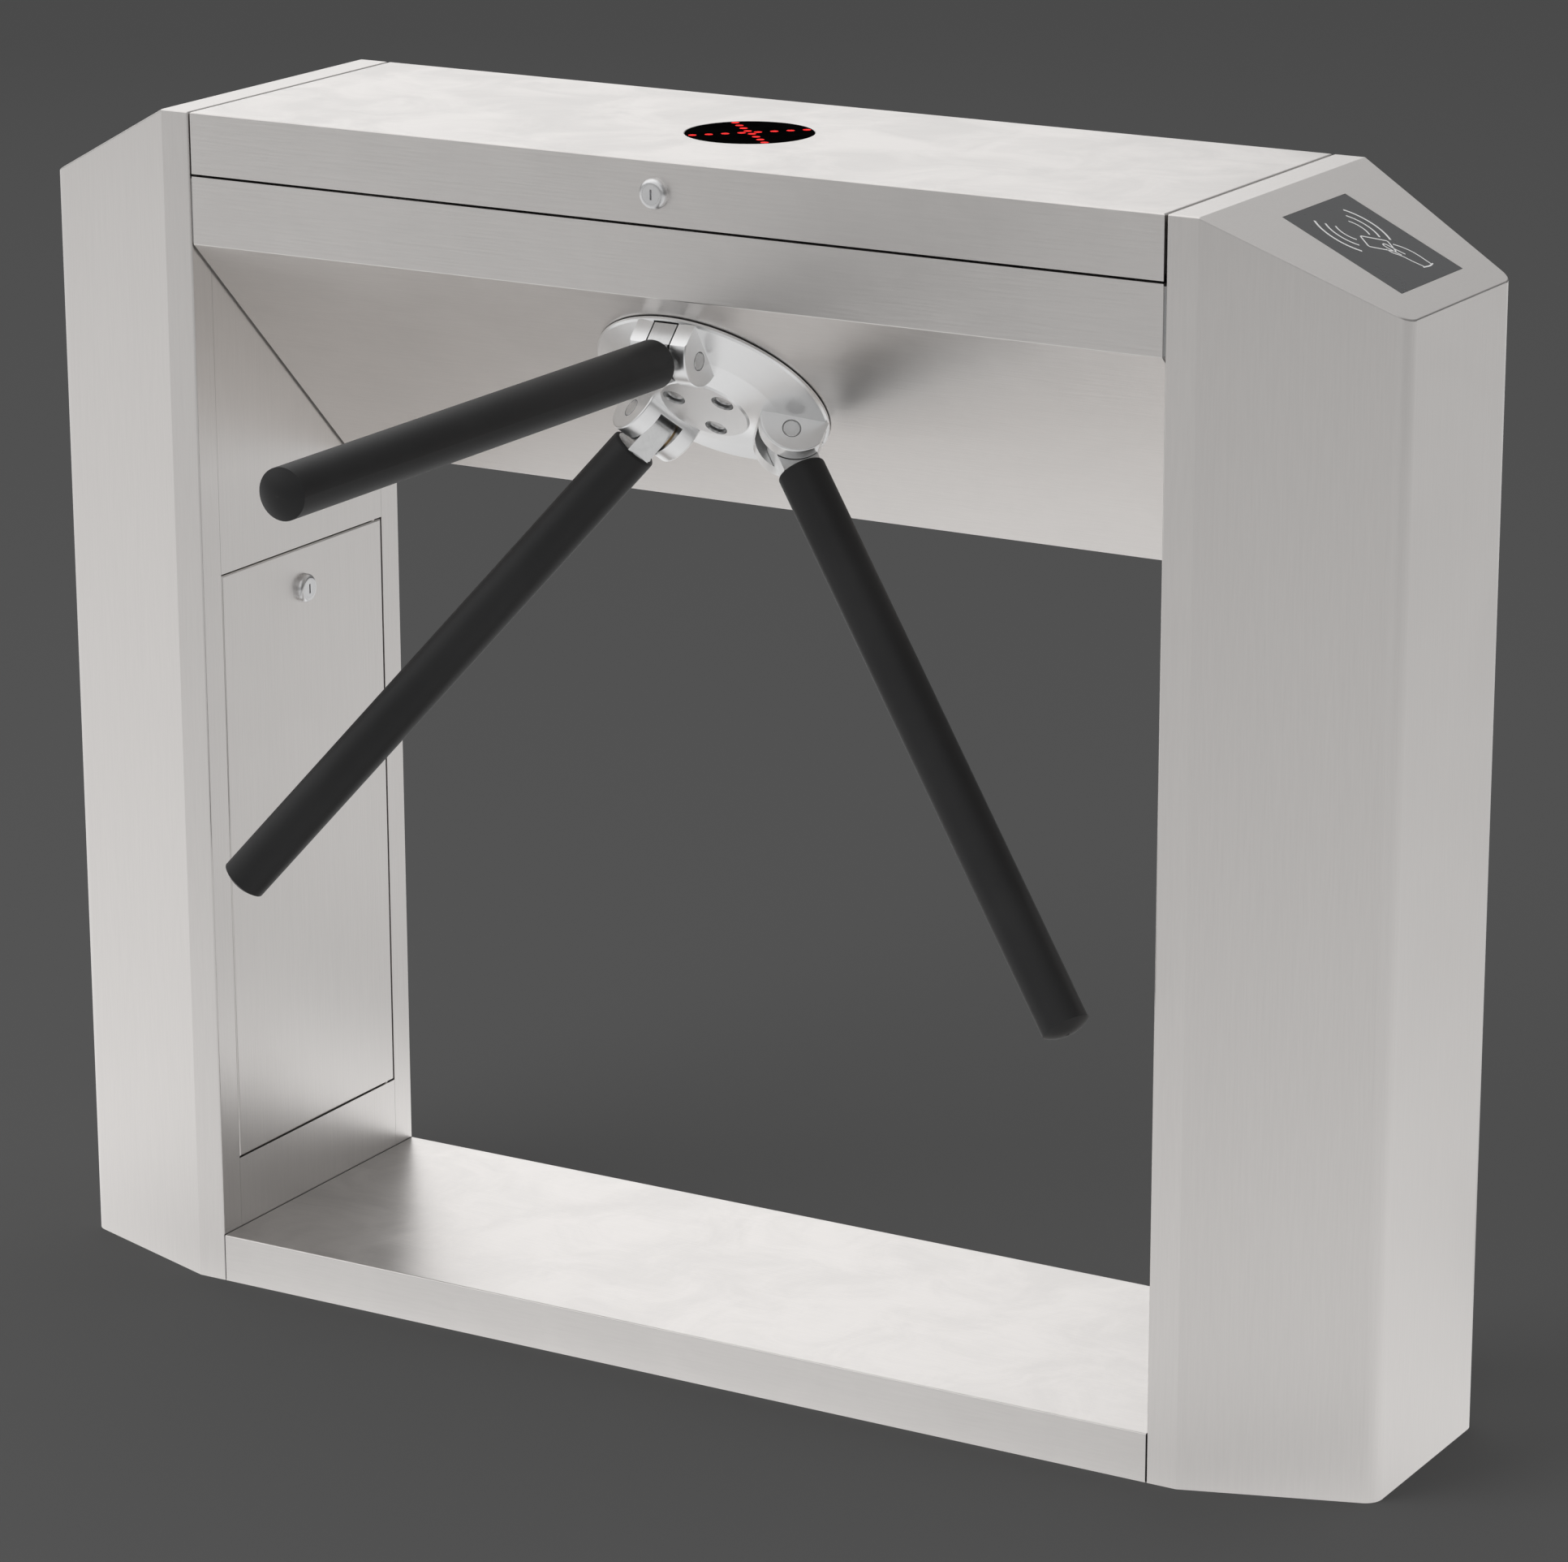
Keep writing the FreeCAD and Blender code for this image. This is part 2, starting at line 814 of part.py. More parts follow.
def base_sill():
    """Shallow upturned tray on the floor between the pedestals."""
    length = inner_x - dim.sill_gap
    tray = prism("YZ_Plane", [polygon(
        (-half_depth, 0),
        (half_depth, 0),
        (half_depth, dim.sill_height),
        (-half_depth, dim.sill_height),
    )], spread(length))
    top = dim.sill_height.number
    depth = half_depth.number

    def long_top(edge):
        on_side = any(ends_at(edge, "y", sign * depth) for sign in (-1, 1))
        return on_side and ends_at(edge, "z", top)

    round_edges(tray, dim.edge_radius, long_top)
    hollow = box(
        spread(length + MARGIN),
        spread(half_depth - dim.wall),
        (-MARGIN, dim.sill_height - dim.wall),
    )
    node("base_sill", cut(tray, hollow))


for name, side in SIDES.items():
    pedestal_shell(name, side)
    floor_plate(name, side)
    inner_panel(name, side)
    door(name, side)
    card_reader(name, side)
    door_lock_seat = frame(
        side * inner_x,
        0,
        door_top - dim.door_lock_drop,
        turn="y",
        angle=-90 * side,
    )
    cam_lock(f"{name}_door_lock", door_lock_seat, dim.door_cam_length, slot_across=True)
base_sill()


# Beam and lid

def beam_profile(inset):
    """The beam's folded section a distance inside its outer face, from the band's top to the back wall."""
    return [
        (-half_depth + inset, band_top - inset),
        (-half_depth + inset, band_bottom + inset * tangent(dim.hub_tilt / 2)),
        (panel_foot + inset * tangent((90 - dim.hub_tilt) / 2), beam_bottom + inset),
        (half_depth - inset, beam_bottom + inset),
    ]


def beam_body():
    """One folded sheet: front lip, front band, sloped panel, floor and back wall."""
    lip_end = -half_depth + dim.beam_lip
    outer = beam_profile(as_size(0))
    inner = beam_profile(dim.wall)
    section = [(lip_end, band_top), *outer, (half_depth, band_top), (back_wall, band_top)]
    section += [*reversed(inner), (lip_end, band_top - dim.wall)]
    folded = prism("YZ_Plane", [polygon(*section)], spread(beam_half))
    bends = [flat(corner) for corner in outer[1:]]

    def bent(edge):
        return any(ends_at(edge, "y", bend.x) and ends_at(edge, "z", bend.y) for bend in bends)

    round_edges(folded, dim.edge_radius, bent)
    bore = place(cylinder(dim.panel_bore_radius, spread(3 * dim.wall)), hub_frame)
    node("beam_body", cut(folded, bore))


def beam_ends():
    """Plates that close the beam, stand out across the seam and are bolted to the pedestals."""
    outline = [*beam_profile(dim.wall), (back_wall, band_top - dim.wall)]
    bolts = []
    plates = []
    for side in SIDES.values():
        inner_face = inner_x - dim.end_plate_thickness
        panel_back = inner_x + 2 * dim.wall
        holes = [circle(dim.bolt_radius + dim.hair_gap, along, up) for along, up in beam_bolt_places()]
        plates.append(prism("YZ_Plane", [polygon(*outline), *holes], mirrored(side, inner_face, inner_x)))
        for along, up in beam_bolt_places():
            head = mirrored(side, inner_face - dim.bolt_head_height, inner_face)
            shank = mirrored(side, inner_face, panel_back)
            nut = mirrored(side, panel_back, panel_back + dim.nut_height)
            bolts.append(fuse(
                cylinder(dim.bolt_head_radius, head, "x", along, up),
                cylinder(dim.bolt_radius, shank, "x", along, up),
                cylinder(dim.bolt_head_radius, nut, "x", along, up),
            ))
    node("beam_end_plates", group(*plates))
    node("cabinet_bolts", group(*bolts))


def lid():
    """Shallow lid with a deep front flange, a shorter skirt, the display hole and the lock hole."""
    outline = polygon(
        (-beam_half, -half_depth),
        (beam_half, -half_depth),
        (beam_half, half_depth),
        (-beam_half, half_depth),
    )
    slab = prism("XY_Plane", [outline], (lid_edge, dim.overall_height))
    top = dim.overall_height.number
    round_edges(slab, dim.edge_radius, lambda edge: ends_at(edge, "z", top))
    hollow = box(
        spread(beam_half - dim.wall),
        spread(back_wall),
        (lid_edge - MARGIN, dim.overall_height - dim.wall),
    )
    below_skirt = box(
        spread(beam_half + MARGIN),
        (-back_wall, half_depth + MARGIN),
        (lid_edge - MARGIN, skirt_edge),
    )
    hole = led_window_radius + dim.hair_gap
    flare = hole + dim.led_hole_chamfer + MARGIN
    display = turned(
        (0, dim.overall_height - 2 * dim.wall),
        (hole, dim.overall_height - 2 * dim.wall),
        (hole, dim.overall_height - dim.led_hole_chamfer),
        (flare, dim.overall_height + MARGIN),
        (0, dim.overall_height + MARGIN),
    )
    lock_hole = cylinder(
        dim.lock_barrel_radius + dim.hair_gap,
        (-half_depth - MARGIN, -half_depth + 2 * dim.wall),
        "y",
        0,
        lid_line + dim.lid_flange / 2,
    )
    node("lid", cut(slab, hollow, below_skirt, display, lock_hole))


def lid_hinge():
    """Continuous hinge inside the back wall: alternate knuckles on two leaves, and one pin."""
    leaf_y = (back_wall - dim.hinge_leaf_thickness, back_wall)
    half = dim.hinge_length / 2
    fixed_edge = band_top - dim.hinge_gap
    lid_leaf_edge = hinge_z + dim.hinge_knuckle_radius + dim.hinge_gap
    fixed = [box(spread(half), leaf_y, (fixed_edge - dim.hinge_leaf_width, fixed_edge))]
    moving = [box(spread(half), leaf_y, (lid_leaf_edge, lid_leaf_edge + dim.hinge_leaf_width))]
    count = int(dim.hinge_knuckles.number)
    pitch = dim.hinge_length / dim.hinge_knuckles
    for index in range(count):
        start = -half + index * pitch
        segment = (start + dim.hinge_gap / 2, start + pitch - dim.hinge_gap / 2)
        knuckle = cylinder(dim.hinge_knuckle_radius, segment, "x", hinge_y, hinge_z)
        if index % 2 == 0:
            fixed += [knuckle, box(segment, leaf_y, (fixed_edge - MARGIN, hinge_z))]
        else:
            moving += [knuckle, box(segment, leaf_y, (hinge_z, lid_leaf_edge + MARGIN))]
    bore_span = spread(half + MARGIN)
    for label, pieces, gap in (
        ("lid_hinge_fixed", fixed, as_size(0)),
        ("lid_hinge_leaf", moving, dim.running_gap),
    ):
        bore = cylinder(dim.hinge_pin_radius + gap, bore_span, "x", hinge_y, hinge_z)
        node(label, cut(fuse(*pieces), bore))
    node("lid_hinge_pin", cylinder(dim.hinge_pin_radius, spread(half), "x", hinge_y, hinge_z))


def lid_strike():
    """Hook on the beam's front lip that the lid lock's cam turns under."""
    cam_y = -half_depth + dim.lock_barrel_length + dim.lock_cam_gap
    post_y = cam_y + dim.lock_cam_thickness + dim.strike_gap
    near = dim.lock_cam_width
    hook_z = lid_line + dim.lid_flange / 2 + dim.lock_cam_width / 2 + dim.strike_gap
    post = box((near, near + dim.strike_width), (post_y, post_y + dim.wall), (band_top, hook_z + dim.wall))
    hook = box((near, near + dim.strike_width), (cam_y, post_y + dim.wall), (hook_z, hook_z + dim.wall))
    node("lid_strike", fuse(post, hook))


def display():
    """Dark window with a cross of lamp lenses, on a round lamp board."""
    top = dim.overall_height
    seat = top - dim.wall
    board_top = seat - dim.led_rim_thickness
    pitch = dim.led_pitch
    places = []
    for index in range(int(dim.led_count.number)):
        reach = (index - (dim.led_count - 1) / 2) * pitch / root(as_size(2))
        places += [(reach, reach), (reach, -reach)]
    disc = fuse(
        cylinder(led_window_radius, (seat, top)),
        cylinder(led_window_radius + dim.led_rim, (board_top, seat)),
    )
    holes = [
        cylinder(dim.led_lens_radius + dim.running_gap, (board_top - MARGIN, top + MARGIN), "z", *spot)
        for spot in places
    ]
    lenses = [cylinder(dim.led_lens_radius, (board_top, top), "z", *spot) for spot in places]
    node("led_window", cut(disc, *holes))
    node("led_lenses", group(*lenses))
    board_span = (board_top - dim.led_board_thickness, board_top)
    node("led_board", cylinder(led_window_radius + dim.led_board_lap, board_span))


def electronics():
    """Control board on stand-offs and a boxed power supply, both on the beam's back wall."""
    middle = beam_bottom + dim.beam_height / 2 - dim.lid_flange / 2
    reach = beam_half - dim.electronics_setback
    board_back = back_wall - dim.board_stand
    board_front = board_back - dim.board_thickness
    board_half = dim.board_length / 2
    board_up = dim.board_height / 2

    def along(centre, half):
        return (centre - half, centre + half)

    board = [box(along(-reach, board_half), (board_front, board_back), along(middle, board_up))]
    for across, up in four_places(board_half - dim.board_stand_inset, board_up - dim.board_stand_inset):
        centre = (across - reach, middle + up)
        board.append(cylinder(dim.board_stand_radius, (board_back, back_wall), "y", *centre))
    for index in range(int(dim.chip_count.number)):
        centre = (index - (dim.chip_count - 1) / 2) * dim.chip_pitch - reach
        chip = (along(centre, dim.chip_width / 2), along(middle, dim.chip_height / 2))
        board.append(box(chip[0], (board_front - dim.chip_depth, board_front), chip[1]))
    node("control_board", fuse(*board))
    node("power_supply", box(
        along(reach, dim.supply_length / 2),
        (back_wall - dim.supply_depth, back_wall),
        along(middle, dim.supply_height / 2),
    ))


beam_body()
beam_ends()
lid()
lid_hinge()
lid_strike()
display()
electronics()
lid_lock_seat = frame(0, -half_depth, lid_line + dim.lid_flange / 2, turn="x", angle=90)
cam_lock("lid_lock", lid_lock_seat, dim.lid_cam_length, slot_across=False)


# Mechanism frame behind the sloped panel, in the hub's frame

PAWLS = {"entry": -1, "exit": 1}


def mechanism_frame():
    front = box(
        spread(dim.plate_width / 2),
        spread(dim.plate_height / 2),
        (front_plate_back, front_plate_top),
    )
    bearing_top = front_plate_top - dim.front_bearing_lip
    seat = cylinder(dim.front_bearing_radius, (front_plate_back - MARGIN, bearing_top))
    bore = cylinder(dim.panel_bore_radius, (front_plate_back, front_plate_top + MARGIN))
    through_front = (front_plate_back - MARGIN, front_plate_top + MARGIN)
    stud_holes = [
        cylinder(dim.bolt_radius + dim.hair_gap, through_front, "z", *spot)
        for spot in four_places(dim.stud_x, dim.stud_y)
    ]
    pin_holes = [
        cylinder(
            dim.pawl_pin_radius + dim.running_gap,
            (front_plate_back - MARGIN, front_plate_back + dim.pawl_pin_seat),
            "z",
            side * dim.pawl_pivot_x,
            dim.pawl_pivot_y,
        )
        for side in PAWLS.values()
    ]
    node("mechanism_front_plate", place(cut(front, seat, bore, *stud_holes, *pin_holes), hub_frame))
    rear = box(
        spread(dim.plate_width / 2),
        spread(dim.plate_height / 2),
        (rear_plate_back, rear_plate_top),
    )
    through = (rear_plate_back - MARGIN, rear_plate_top + MARGIN)
    rear_seat = cylinder(dim.rear_bearing_radius, through)
    motor_hole = cylinder(2 * dim.motor_shaft_radius, through, "z", pinion_x, 0)
    node("mechanism_rear_plate", place(cut(rear, rear_seat, motor_hole), hub_frame))
    pillars = [
        cylinder(dim.pillar_radius, (rear_plate_top, front_plate_back), "z", *spot)
        for spot in four_places(dim.pillar_x, dim.pillar_y)
    ]
    node("mechanism_pillars", place(group(*pillars), hub_frame))
    nut_end = front_plate_back - dim.nut_height
    studs = [
        fuse(
            cylinder(dim.bolt_radius, (nut_end - MARGIN, front_plate_top), "z", *spot),
            cylinder(dim.bolt_head_radius, (nut_end, front_plate_back), "z", *spot),
        )
        for spot in four_places(dim.stud_x, dim.stud_y)
    ]
    node("mechanism_studs", place(group(*studs), hub_frame))
    front_ring = ring(
        dim.front_bearing_radius,
        dim.shaft_radius + dim.running_gap,
        (front_plate_back, bearing_top),
    )
    rear_ring = ring(
        dim.rear_bearing_radius,
        dim.shaft_tail_radius + dim.running_gap,
        (rear_plate_back, rear_plate_top),
    )
    node("shaft_bearings", place(group(front_ring, rear_ring), hub_frame))


def solenoids():
    """Rotary solenoids on the rear plate, one on each pawl's pivot."""
    pieces = []
    for side in PAWLS.values():
        centre = (side * dim.pawl_pivot_x, dim.pawl_pivot_y)
        front = rear_plate_top + dim.solenoid_length
        bore = dim.pawl_pin_radius + dim.running_gap
        pieces.append(ring(dim.solenoid_radius, bore, (rear_plate_top, front), "z", *centre))
    node("lock_solenoids", place(group(*pieces), hub_frame))


def pawl(name, side):
    """Lever with a tooth for the lock wheel's top notch, drawn engaged and then turned back to release."""
    level = 0 if side < 0 else 1
    step = dim.lock_wheel_thickness / 2
    top = wheel_top - level * step - (step - dim.pawl_thickness) / 2
    span = (top - dim.pawl_thickness, top)
    tooth_far = dim.notch_width / 2 - dim.pawl_side_gap
    tip = dim.pawl_pivot_x - tooth_far + dim.pawl_tooth_width
    tooth_foot = dim.lock_wheel_radius - dim.notch_depth + dim.pawl_tip_gap - dim.pawl_pivot_y
    lever = box(mirrored(-side, 0, tip), spread(dim.pawl_width / 2), span)
    tooth = box(mirrored(-side, tip - dim.pawl_tooth_width, tip), (tooth_foot, 0), span)
    eye = cylinder(dim.pawl_eye_radius, span)
    pin_back = rear_plate_top + dim.solenoid_length / 2
    pin = cylinder(dim.pawl_pin_radius, (pin_back, front_plate_back + dim.pawl_pin_seat))
    pivot = frame(side * dim.pawl_pivot_x, dim.pawl_pivot_y, 0, turn="z", angle=-side * dim.pawl_release)
    node(f"{name}_pawl", place(fuse(lever, tooth, eye, pin), hub_frame, pivot))


def motor():
    """Gear motor behind the rear plate, with a stepped nose and a bore for the pinion's shaft."""
    back = rear_plate_back - dim.motor_length
    body = cylinder(dim.motor_radius, (back, rear_plate_back), "z", pinion_x, 0)
    cap = cylinder(dim.motor_cap_radius, (back - dim.motor_cap_length, back), "z", pinion_x, 0)
    bore = cylinder(
        dim.motor_shaft_radius + dim.running_gap,
        (rear_plate_back - dim.motor_shaft_seat, rear_plate_back + MARGIN),
        "z",
        pinion_x,
        0,
    )
    node("drive_motor", place(cut(fuse(body, cap), bore), hub_frame))


def position_sensor():
    """Forked sensor on the rear plate, astride the edge of the slotted disc."""
    post_near = dim.encoder_radius + dim.sensor_slot / 2
    slot_back = encoder_back - (dim.sensor_slot - dim.encoder_thickness) / 2
    back = slot_back - dim.sensor_slot
    block = box(
        spread(dim.sensor_width / 2),
        (-post_near - dim.sensor_width / 2, -dim.encoder_radius + dim.sensor_slot),
        (back, rear_plate_back),
    )
    slot = box(
        spread(dim.sensor_width),
        (-post_near, 0),
        (slot_back, slot_back + dim.sensor_slot),
    )
    clear = box(
        spread(dim.sensor_width),
        (-post_near, 0),
        (slot_back + 2 * dim.sensor_slot, rear_plate_back + MARGIN),
    )
    node("position_sensor", place(cut(block, slot, clear), hub_frame))


mechanism_frame()
solenoids()
for name, side in PAWLS.items():
    pawl(name, side)
motor()
position_sensor()


# Turning train, in the hub's frame

FLANK_STEPS = 6


def gear_shape(teeth, width, phase):
    """A spur gear: each flank is an involute spline, tips and roots are short straight runs."""
    module = dim.gear_module.number
    pressure = math.radians(dim.pressure_angle.number)
    pitch = module * teeth / 2
    base = pitch * math.cos(pressure)
    tip = pitch + module
    foot = pitch - dim.gear_root_depth.number
    half_tooth = (math.pi * module / 2 - dim.gear_backlash.number / 2) / 2 / pitch
    start_roll = math.sqrt(max(0.0, (foot / base) ** 2 - 1))
    end_roll = math.sqrt((tip / base) ** 2 - 1)
    at_pitch = math.tan(pressure) - pressure

    def polar(radius, angle):
        return FreeCAD.Vector(radius * math.cos(angle), radius * math.sin(angle), 0)

    def flank(centre, sign):
        """Points of one flank from root to tip. The first is on the root circle."""
        at_foot = half_tooth + at_pitch - (start_roll - math.atan(start_roll))
        points = [polar(foot, centre + sign * at_foot)]
        for step in range(0 if foot < base else 1, FLANK_STEPS + 1):
            roll = start_roll + (end_roll - start_roll) * step / FLANK_STEPS
            angle = half_tooth + at_pitch - (roll - math.atan(roll))
            points.append(polar(base * math.sqrt(1 + roll * roll), centre + sign * angle))
        return points

    def curve(points):
        spline = Part.BSplineCurve()
        spline.interpolate(points)
        return spline.toShape()

    def line(start, end):
        return Part.LineSegment(start, end).toShape()

    edges = []
    turn = 2 * math.pi / teeth
    for index in range(teeth):
        centre = phase + index * turn
        rising = flank(centre, -1)
        falling = flank(centre, 1)
        following = flank(centre + turn, -1)
        edges += [line(rising[0], rising[1]), curve(rising[1:]), line(rising[-1], falling[-1])]
        edges += [curve(falling[:0:-1]), line(falling[1], falling[0]), line(falling[0], following[0])]
    face = Part.Face(Part.Wire(edges))
    return face.extrude(FreeCAD.Vector(0, 0, width))


def gear_blank(teeth, phase, span, across):
    """A gear as a fixed shape, placed by the cells between two levels of the hub's frame."""
    blank = doc.addObject("Part::Feature", "gear")
    width = as_size(span[1]) - span[0]
    blank.Shape = gear_shape(int(teeth.number), width.number, phase)
    return place(blank, frame(across, 0, span[0]))


def gears():
    bore = cylinder(dim.shaft_radius, (gear_back - MARGIN, gear_top + MARGIN))
    wheel = gear_blank(dim.gear_teeth, 0.0, (gear_back, gear_top), 0)
    node("main_gear", place(cut(wheel, bore), hub_frame))
    # A tooth of the wheel meets a gap of the pinion on the line of centres.
    half_pitch = math.pi / dim.pinion_teeth.number
    facing = math.pi
    span = (gear_back - dim.pinion_overhang, gear_top + dim.pinion_overhang)
    pinion = gear_blank(dim.pinion_teeth, facing + half_pitch, span, pinion_x)
    shaft = cylinder(
        dim.motor_shaft_radius,
        (rear_plate_back - dim.motor_shaft_seat + MARGIN, span[0]),
        "z",
        pinion_x,
        0,
    )
    node("motor_pinion", place(fuse(pinion, shaft), hub_frame))


def main_shaft():
    """Stepped shaft with a flange in the hub's recess and a stub for the sensor disc."""
    step = gear_back - dim.pinion_overhang
    shaft = turned(
        (0, flange_top),
        (0, encoder_back),
        (dim.sensor_stub_radius, encoder_back),
        (dim.sensor_stub_radius, nut_back),
        (dim.shaft_tail_radius, nut_back),
        (dim.shaft_tail_radius, step),
        (dim.shaft_radius, step),
        (dim.shaft_radius, flange_back),
        (dim.shaft_flange_radius, flange_back),
        (dim.shaft_flange_radius, flange_top),
    )
    holes = [
        cylinder(dim.bolt_radius, (flange_back - MARGIN, flange_top + MARGIN), "z", *spot)
        for spot in hub_bolt_places()
    ]
    node("main_shaft", place(cut(shaft, *holes), hub_frame))


def lock_wheel():
    """Notched disc with a boss towards the gear."""
    disc = cylinder(dim.lock_wheel_radius, (wheel_back, wheel_top))
    boss = cylinder(dim.lock_wheel_boss_radius, (gear_top, wheel_back))
    bore = cylinder(dim.shaft_radius, (gear_top - MARGIN, wheel_top + MARGIN))
    notches = []
    for index in range(int(dim.notch_count.number)):
        notch = box(
            (dim.lock_wheel_radius - dim.notch_depth, dim.lock_wheel_radius + dim.notch_depth),
            spread(dim.notch_width / 2),
            (wheel_back - MARGIN, wheel_top + MARGIN),
        )
        notches.append(place(notch, frame(turn="z", angle=90 + index * 360 / dim.notch_count)))
    node("lock_wheel", place(cut(fuse(disc, boss), bore, *notches), hub_frame))


def shaft_end():
    """Round nut behind the rear bearing, and the slotted disc of the position sensor."""
    nut = ring(dim.nut_radius, dim.shaft_tail_radius, (nut_back, nut_top))
    node("shaft_nut", place(nut, hub_frame))
    disc = ring(dim.encoder_radius, dim.sensor_stub_radius, (encoder_back, encoder_top))
    slots = []
    for index in range(int(dim.notch_count.number)):
        slot = box(
            (dim.encoder_radius - dim.sensor_slot, dim.encoder_radius + MARGIN),
            spread(dim.encoder_thickness),
            (encoder_back - MARGIN, encoder_top + MARGIN),
        )
        slots.append(place(slot, frame(turn="z", angle=index * 360 / dim.notch_count)))
    node("encoder_disc", place(cut(disc, *slots), hub_frame))


def hub_bolt_places():
    """Bolts between the arms, one of them straight below the hub's centre."""
    places = []
    for index in range(int(dim.arm_count.number)):
        angle = 270 + index * 360 / dim.arm_count
        places.append((dim.hub_bolt_circle * cosine(angle), dim.hub_bolt_circle * sine(angle)))
    return places


def arm_turns():
    """The hub's frame turned to each arm, the first arm at the top."""
    return [frame(turn="z", angle=index * 360 / dim.arm_count) for index in range(int(dim.arm_count.number))]


def hub_casting():
    """Shallow cone with a flat boss, three clevises for the arms and counterbored bolt holes."""
    boss_foot = dim.hub_boss_height - dim.edge_radius
    disc = turned(
        (0, flange_top),
        (dim.shaft_flange_radius + dim.running_gap, flange_top),
        (dim.shaft_flange_radius + dim.running_gap, dim.hub_gap),
        (dim.hub_radius, dim.hub_gap),
        (dim.hub_radius, dim.hub_gap + dim.hub_rim),
        (dim.hub_radius - dim.edge_radius, dim.hub_gap + dim.hub_rim + dim.edge_radius),
        (dim.hub_shoulder_radius, dim.hub_shoulder_height),
        (dim.hub_boss_radius, boss_foot),
        (dim.hub_boss_radius - dim.edge_radius, dim.hub_boss_height),
        (0, dim.hub_boss_height),
    )
    reach = dim.cheek_radius - dim.cheek_trim
    near = dim.pivot_radius - dim.cheek_radius
    far = dim.pivot_radius + reach
    foot = dim.clevis_floor.number + 1e-6
    arch = polygon(
        (near, dim.clevis_floor),
        (far, dim.clevis_floor),
        (far, dim.cheek_centre + root(dim.cheek_radius * dim.cheek_radius - reach * reach)),
        (near, dim.cheek_centre),
        arcs={2: {"centre": (dim.pivot_radius, dim.cheek_centre), "held": "y"}},
    )
    half = (dim.clevis_width / 2).number

    def on_cheek(edge):
        on_side = any(ends_at(edge, "x", sign * half) for sign in (-1, 1))
        return on_side and edge.BoundBox.ZMax > foot and not ends_at(edge, "y", far.number)

    clevises = []
    cuts = []
    for turn in arm_turns():
        clevis = prism("YZ_Plane", [arch], spread(dim.clevis_width / 2))
        round_edges(clevis, dim.edge_radius, on_cheek)
        clevises.append(place(clevis, turn))
        slot = box(
            spread(dim.clevis_slot / 2),
            (dim.slot_inner_radius, dim.hub_radius + MARGIN),
            (dim.clevis_floor, dim.cheek_centre + dim.cheek_radius + MARGIN),
        )
        pin = cylinder(dim.arm_pin_radius, spread(dim.clevis_width), "x", dim.pivot_radius, dim.pivot_height)
        cuts += [place(slot, turn), place(pin, turn)]
    floor = dim.hub_boss_height - dim.hub_counterbore_depth
    for spot in hub_bolt_places():
        cuts.append(cylinder(dim.hub_counterbore_radius, (floor, dim.hub_boss_height + MARGIN), "z", *spot))
        cuts.append(cylinder(dim.bolt_radius, (flange_top - MARGIN, floor + MARGIN), "z", *spot))
    node("hub_casting", place(cut(fuse(disc, *clevises), *cuts), hub_frame))
    bolts = [
        fuse(
            cylinder(dim.bolt_head_radius, (floor, floor + dim.bolt_head_height), "z", *spot),
            cylinder(dim.bolt_radius, (flange_back, floor), "z", *spot),
        )
        for spot in hub_bolt_places()
    ]
    node("hub_bolts", place(group(*bolts), hub_frame))


def arm_pivots():
    """Flush pivot pins through the clevises, and a thin washer on each side of every arm."""
    pins = []
    washers = []
    half = dim.clevis_width / 2
    tip = dim.arm_pin_radius - dim.arm_pin_chamfer
    shoulder = half - dim.arm_pin_chamfer
    along_pin = frame(turn="y", angle=90)
    for turn in arm_turns():
        centre = frame(0, dim.pivot_radius, dim.pivot_height)
        pin = turned(
            (0, -half),
            (tip, -half),
            (dim.arm_pin_radius, -shoulder),
            (dim.arm_pin_radius, shoulder),
            (tip, half),
            (0, half),
        )
        pins.append(place(pin, turn, centre, along_pin))
        inner = dim.clevis_slot / 2 - dim.washer_thickness
        for side in (-1, 1):
            span = mirrored(side, inner, dim.clevis_slot / 2)
            washer = ring(dim.washer_radius, dim.arm_pin_radius, span, "x")
            washers.append(place(washer, turn, centre))
    node("arm_pins", place(group(*pins), hub_frame))
    node("hinge_washers", place(group(*washers), hub_frame))


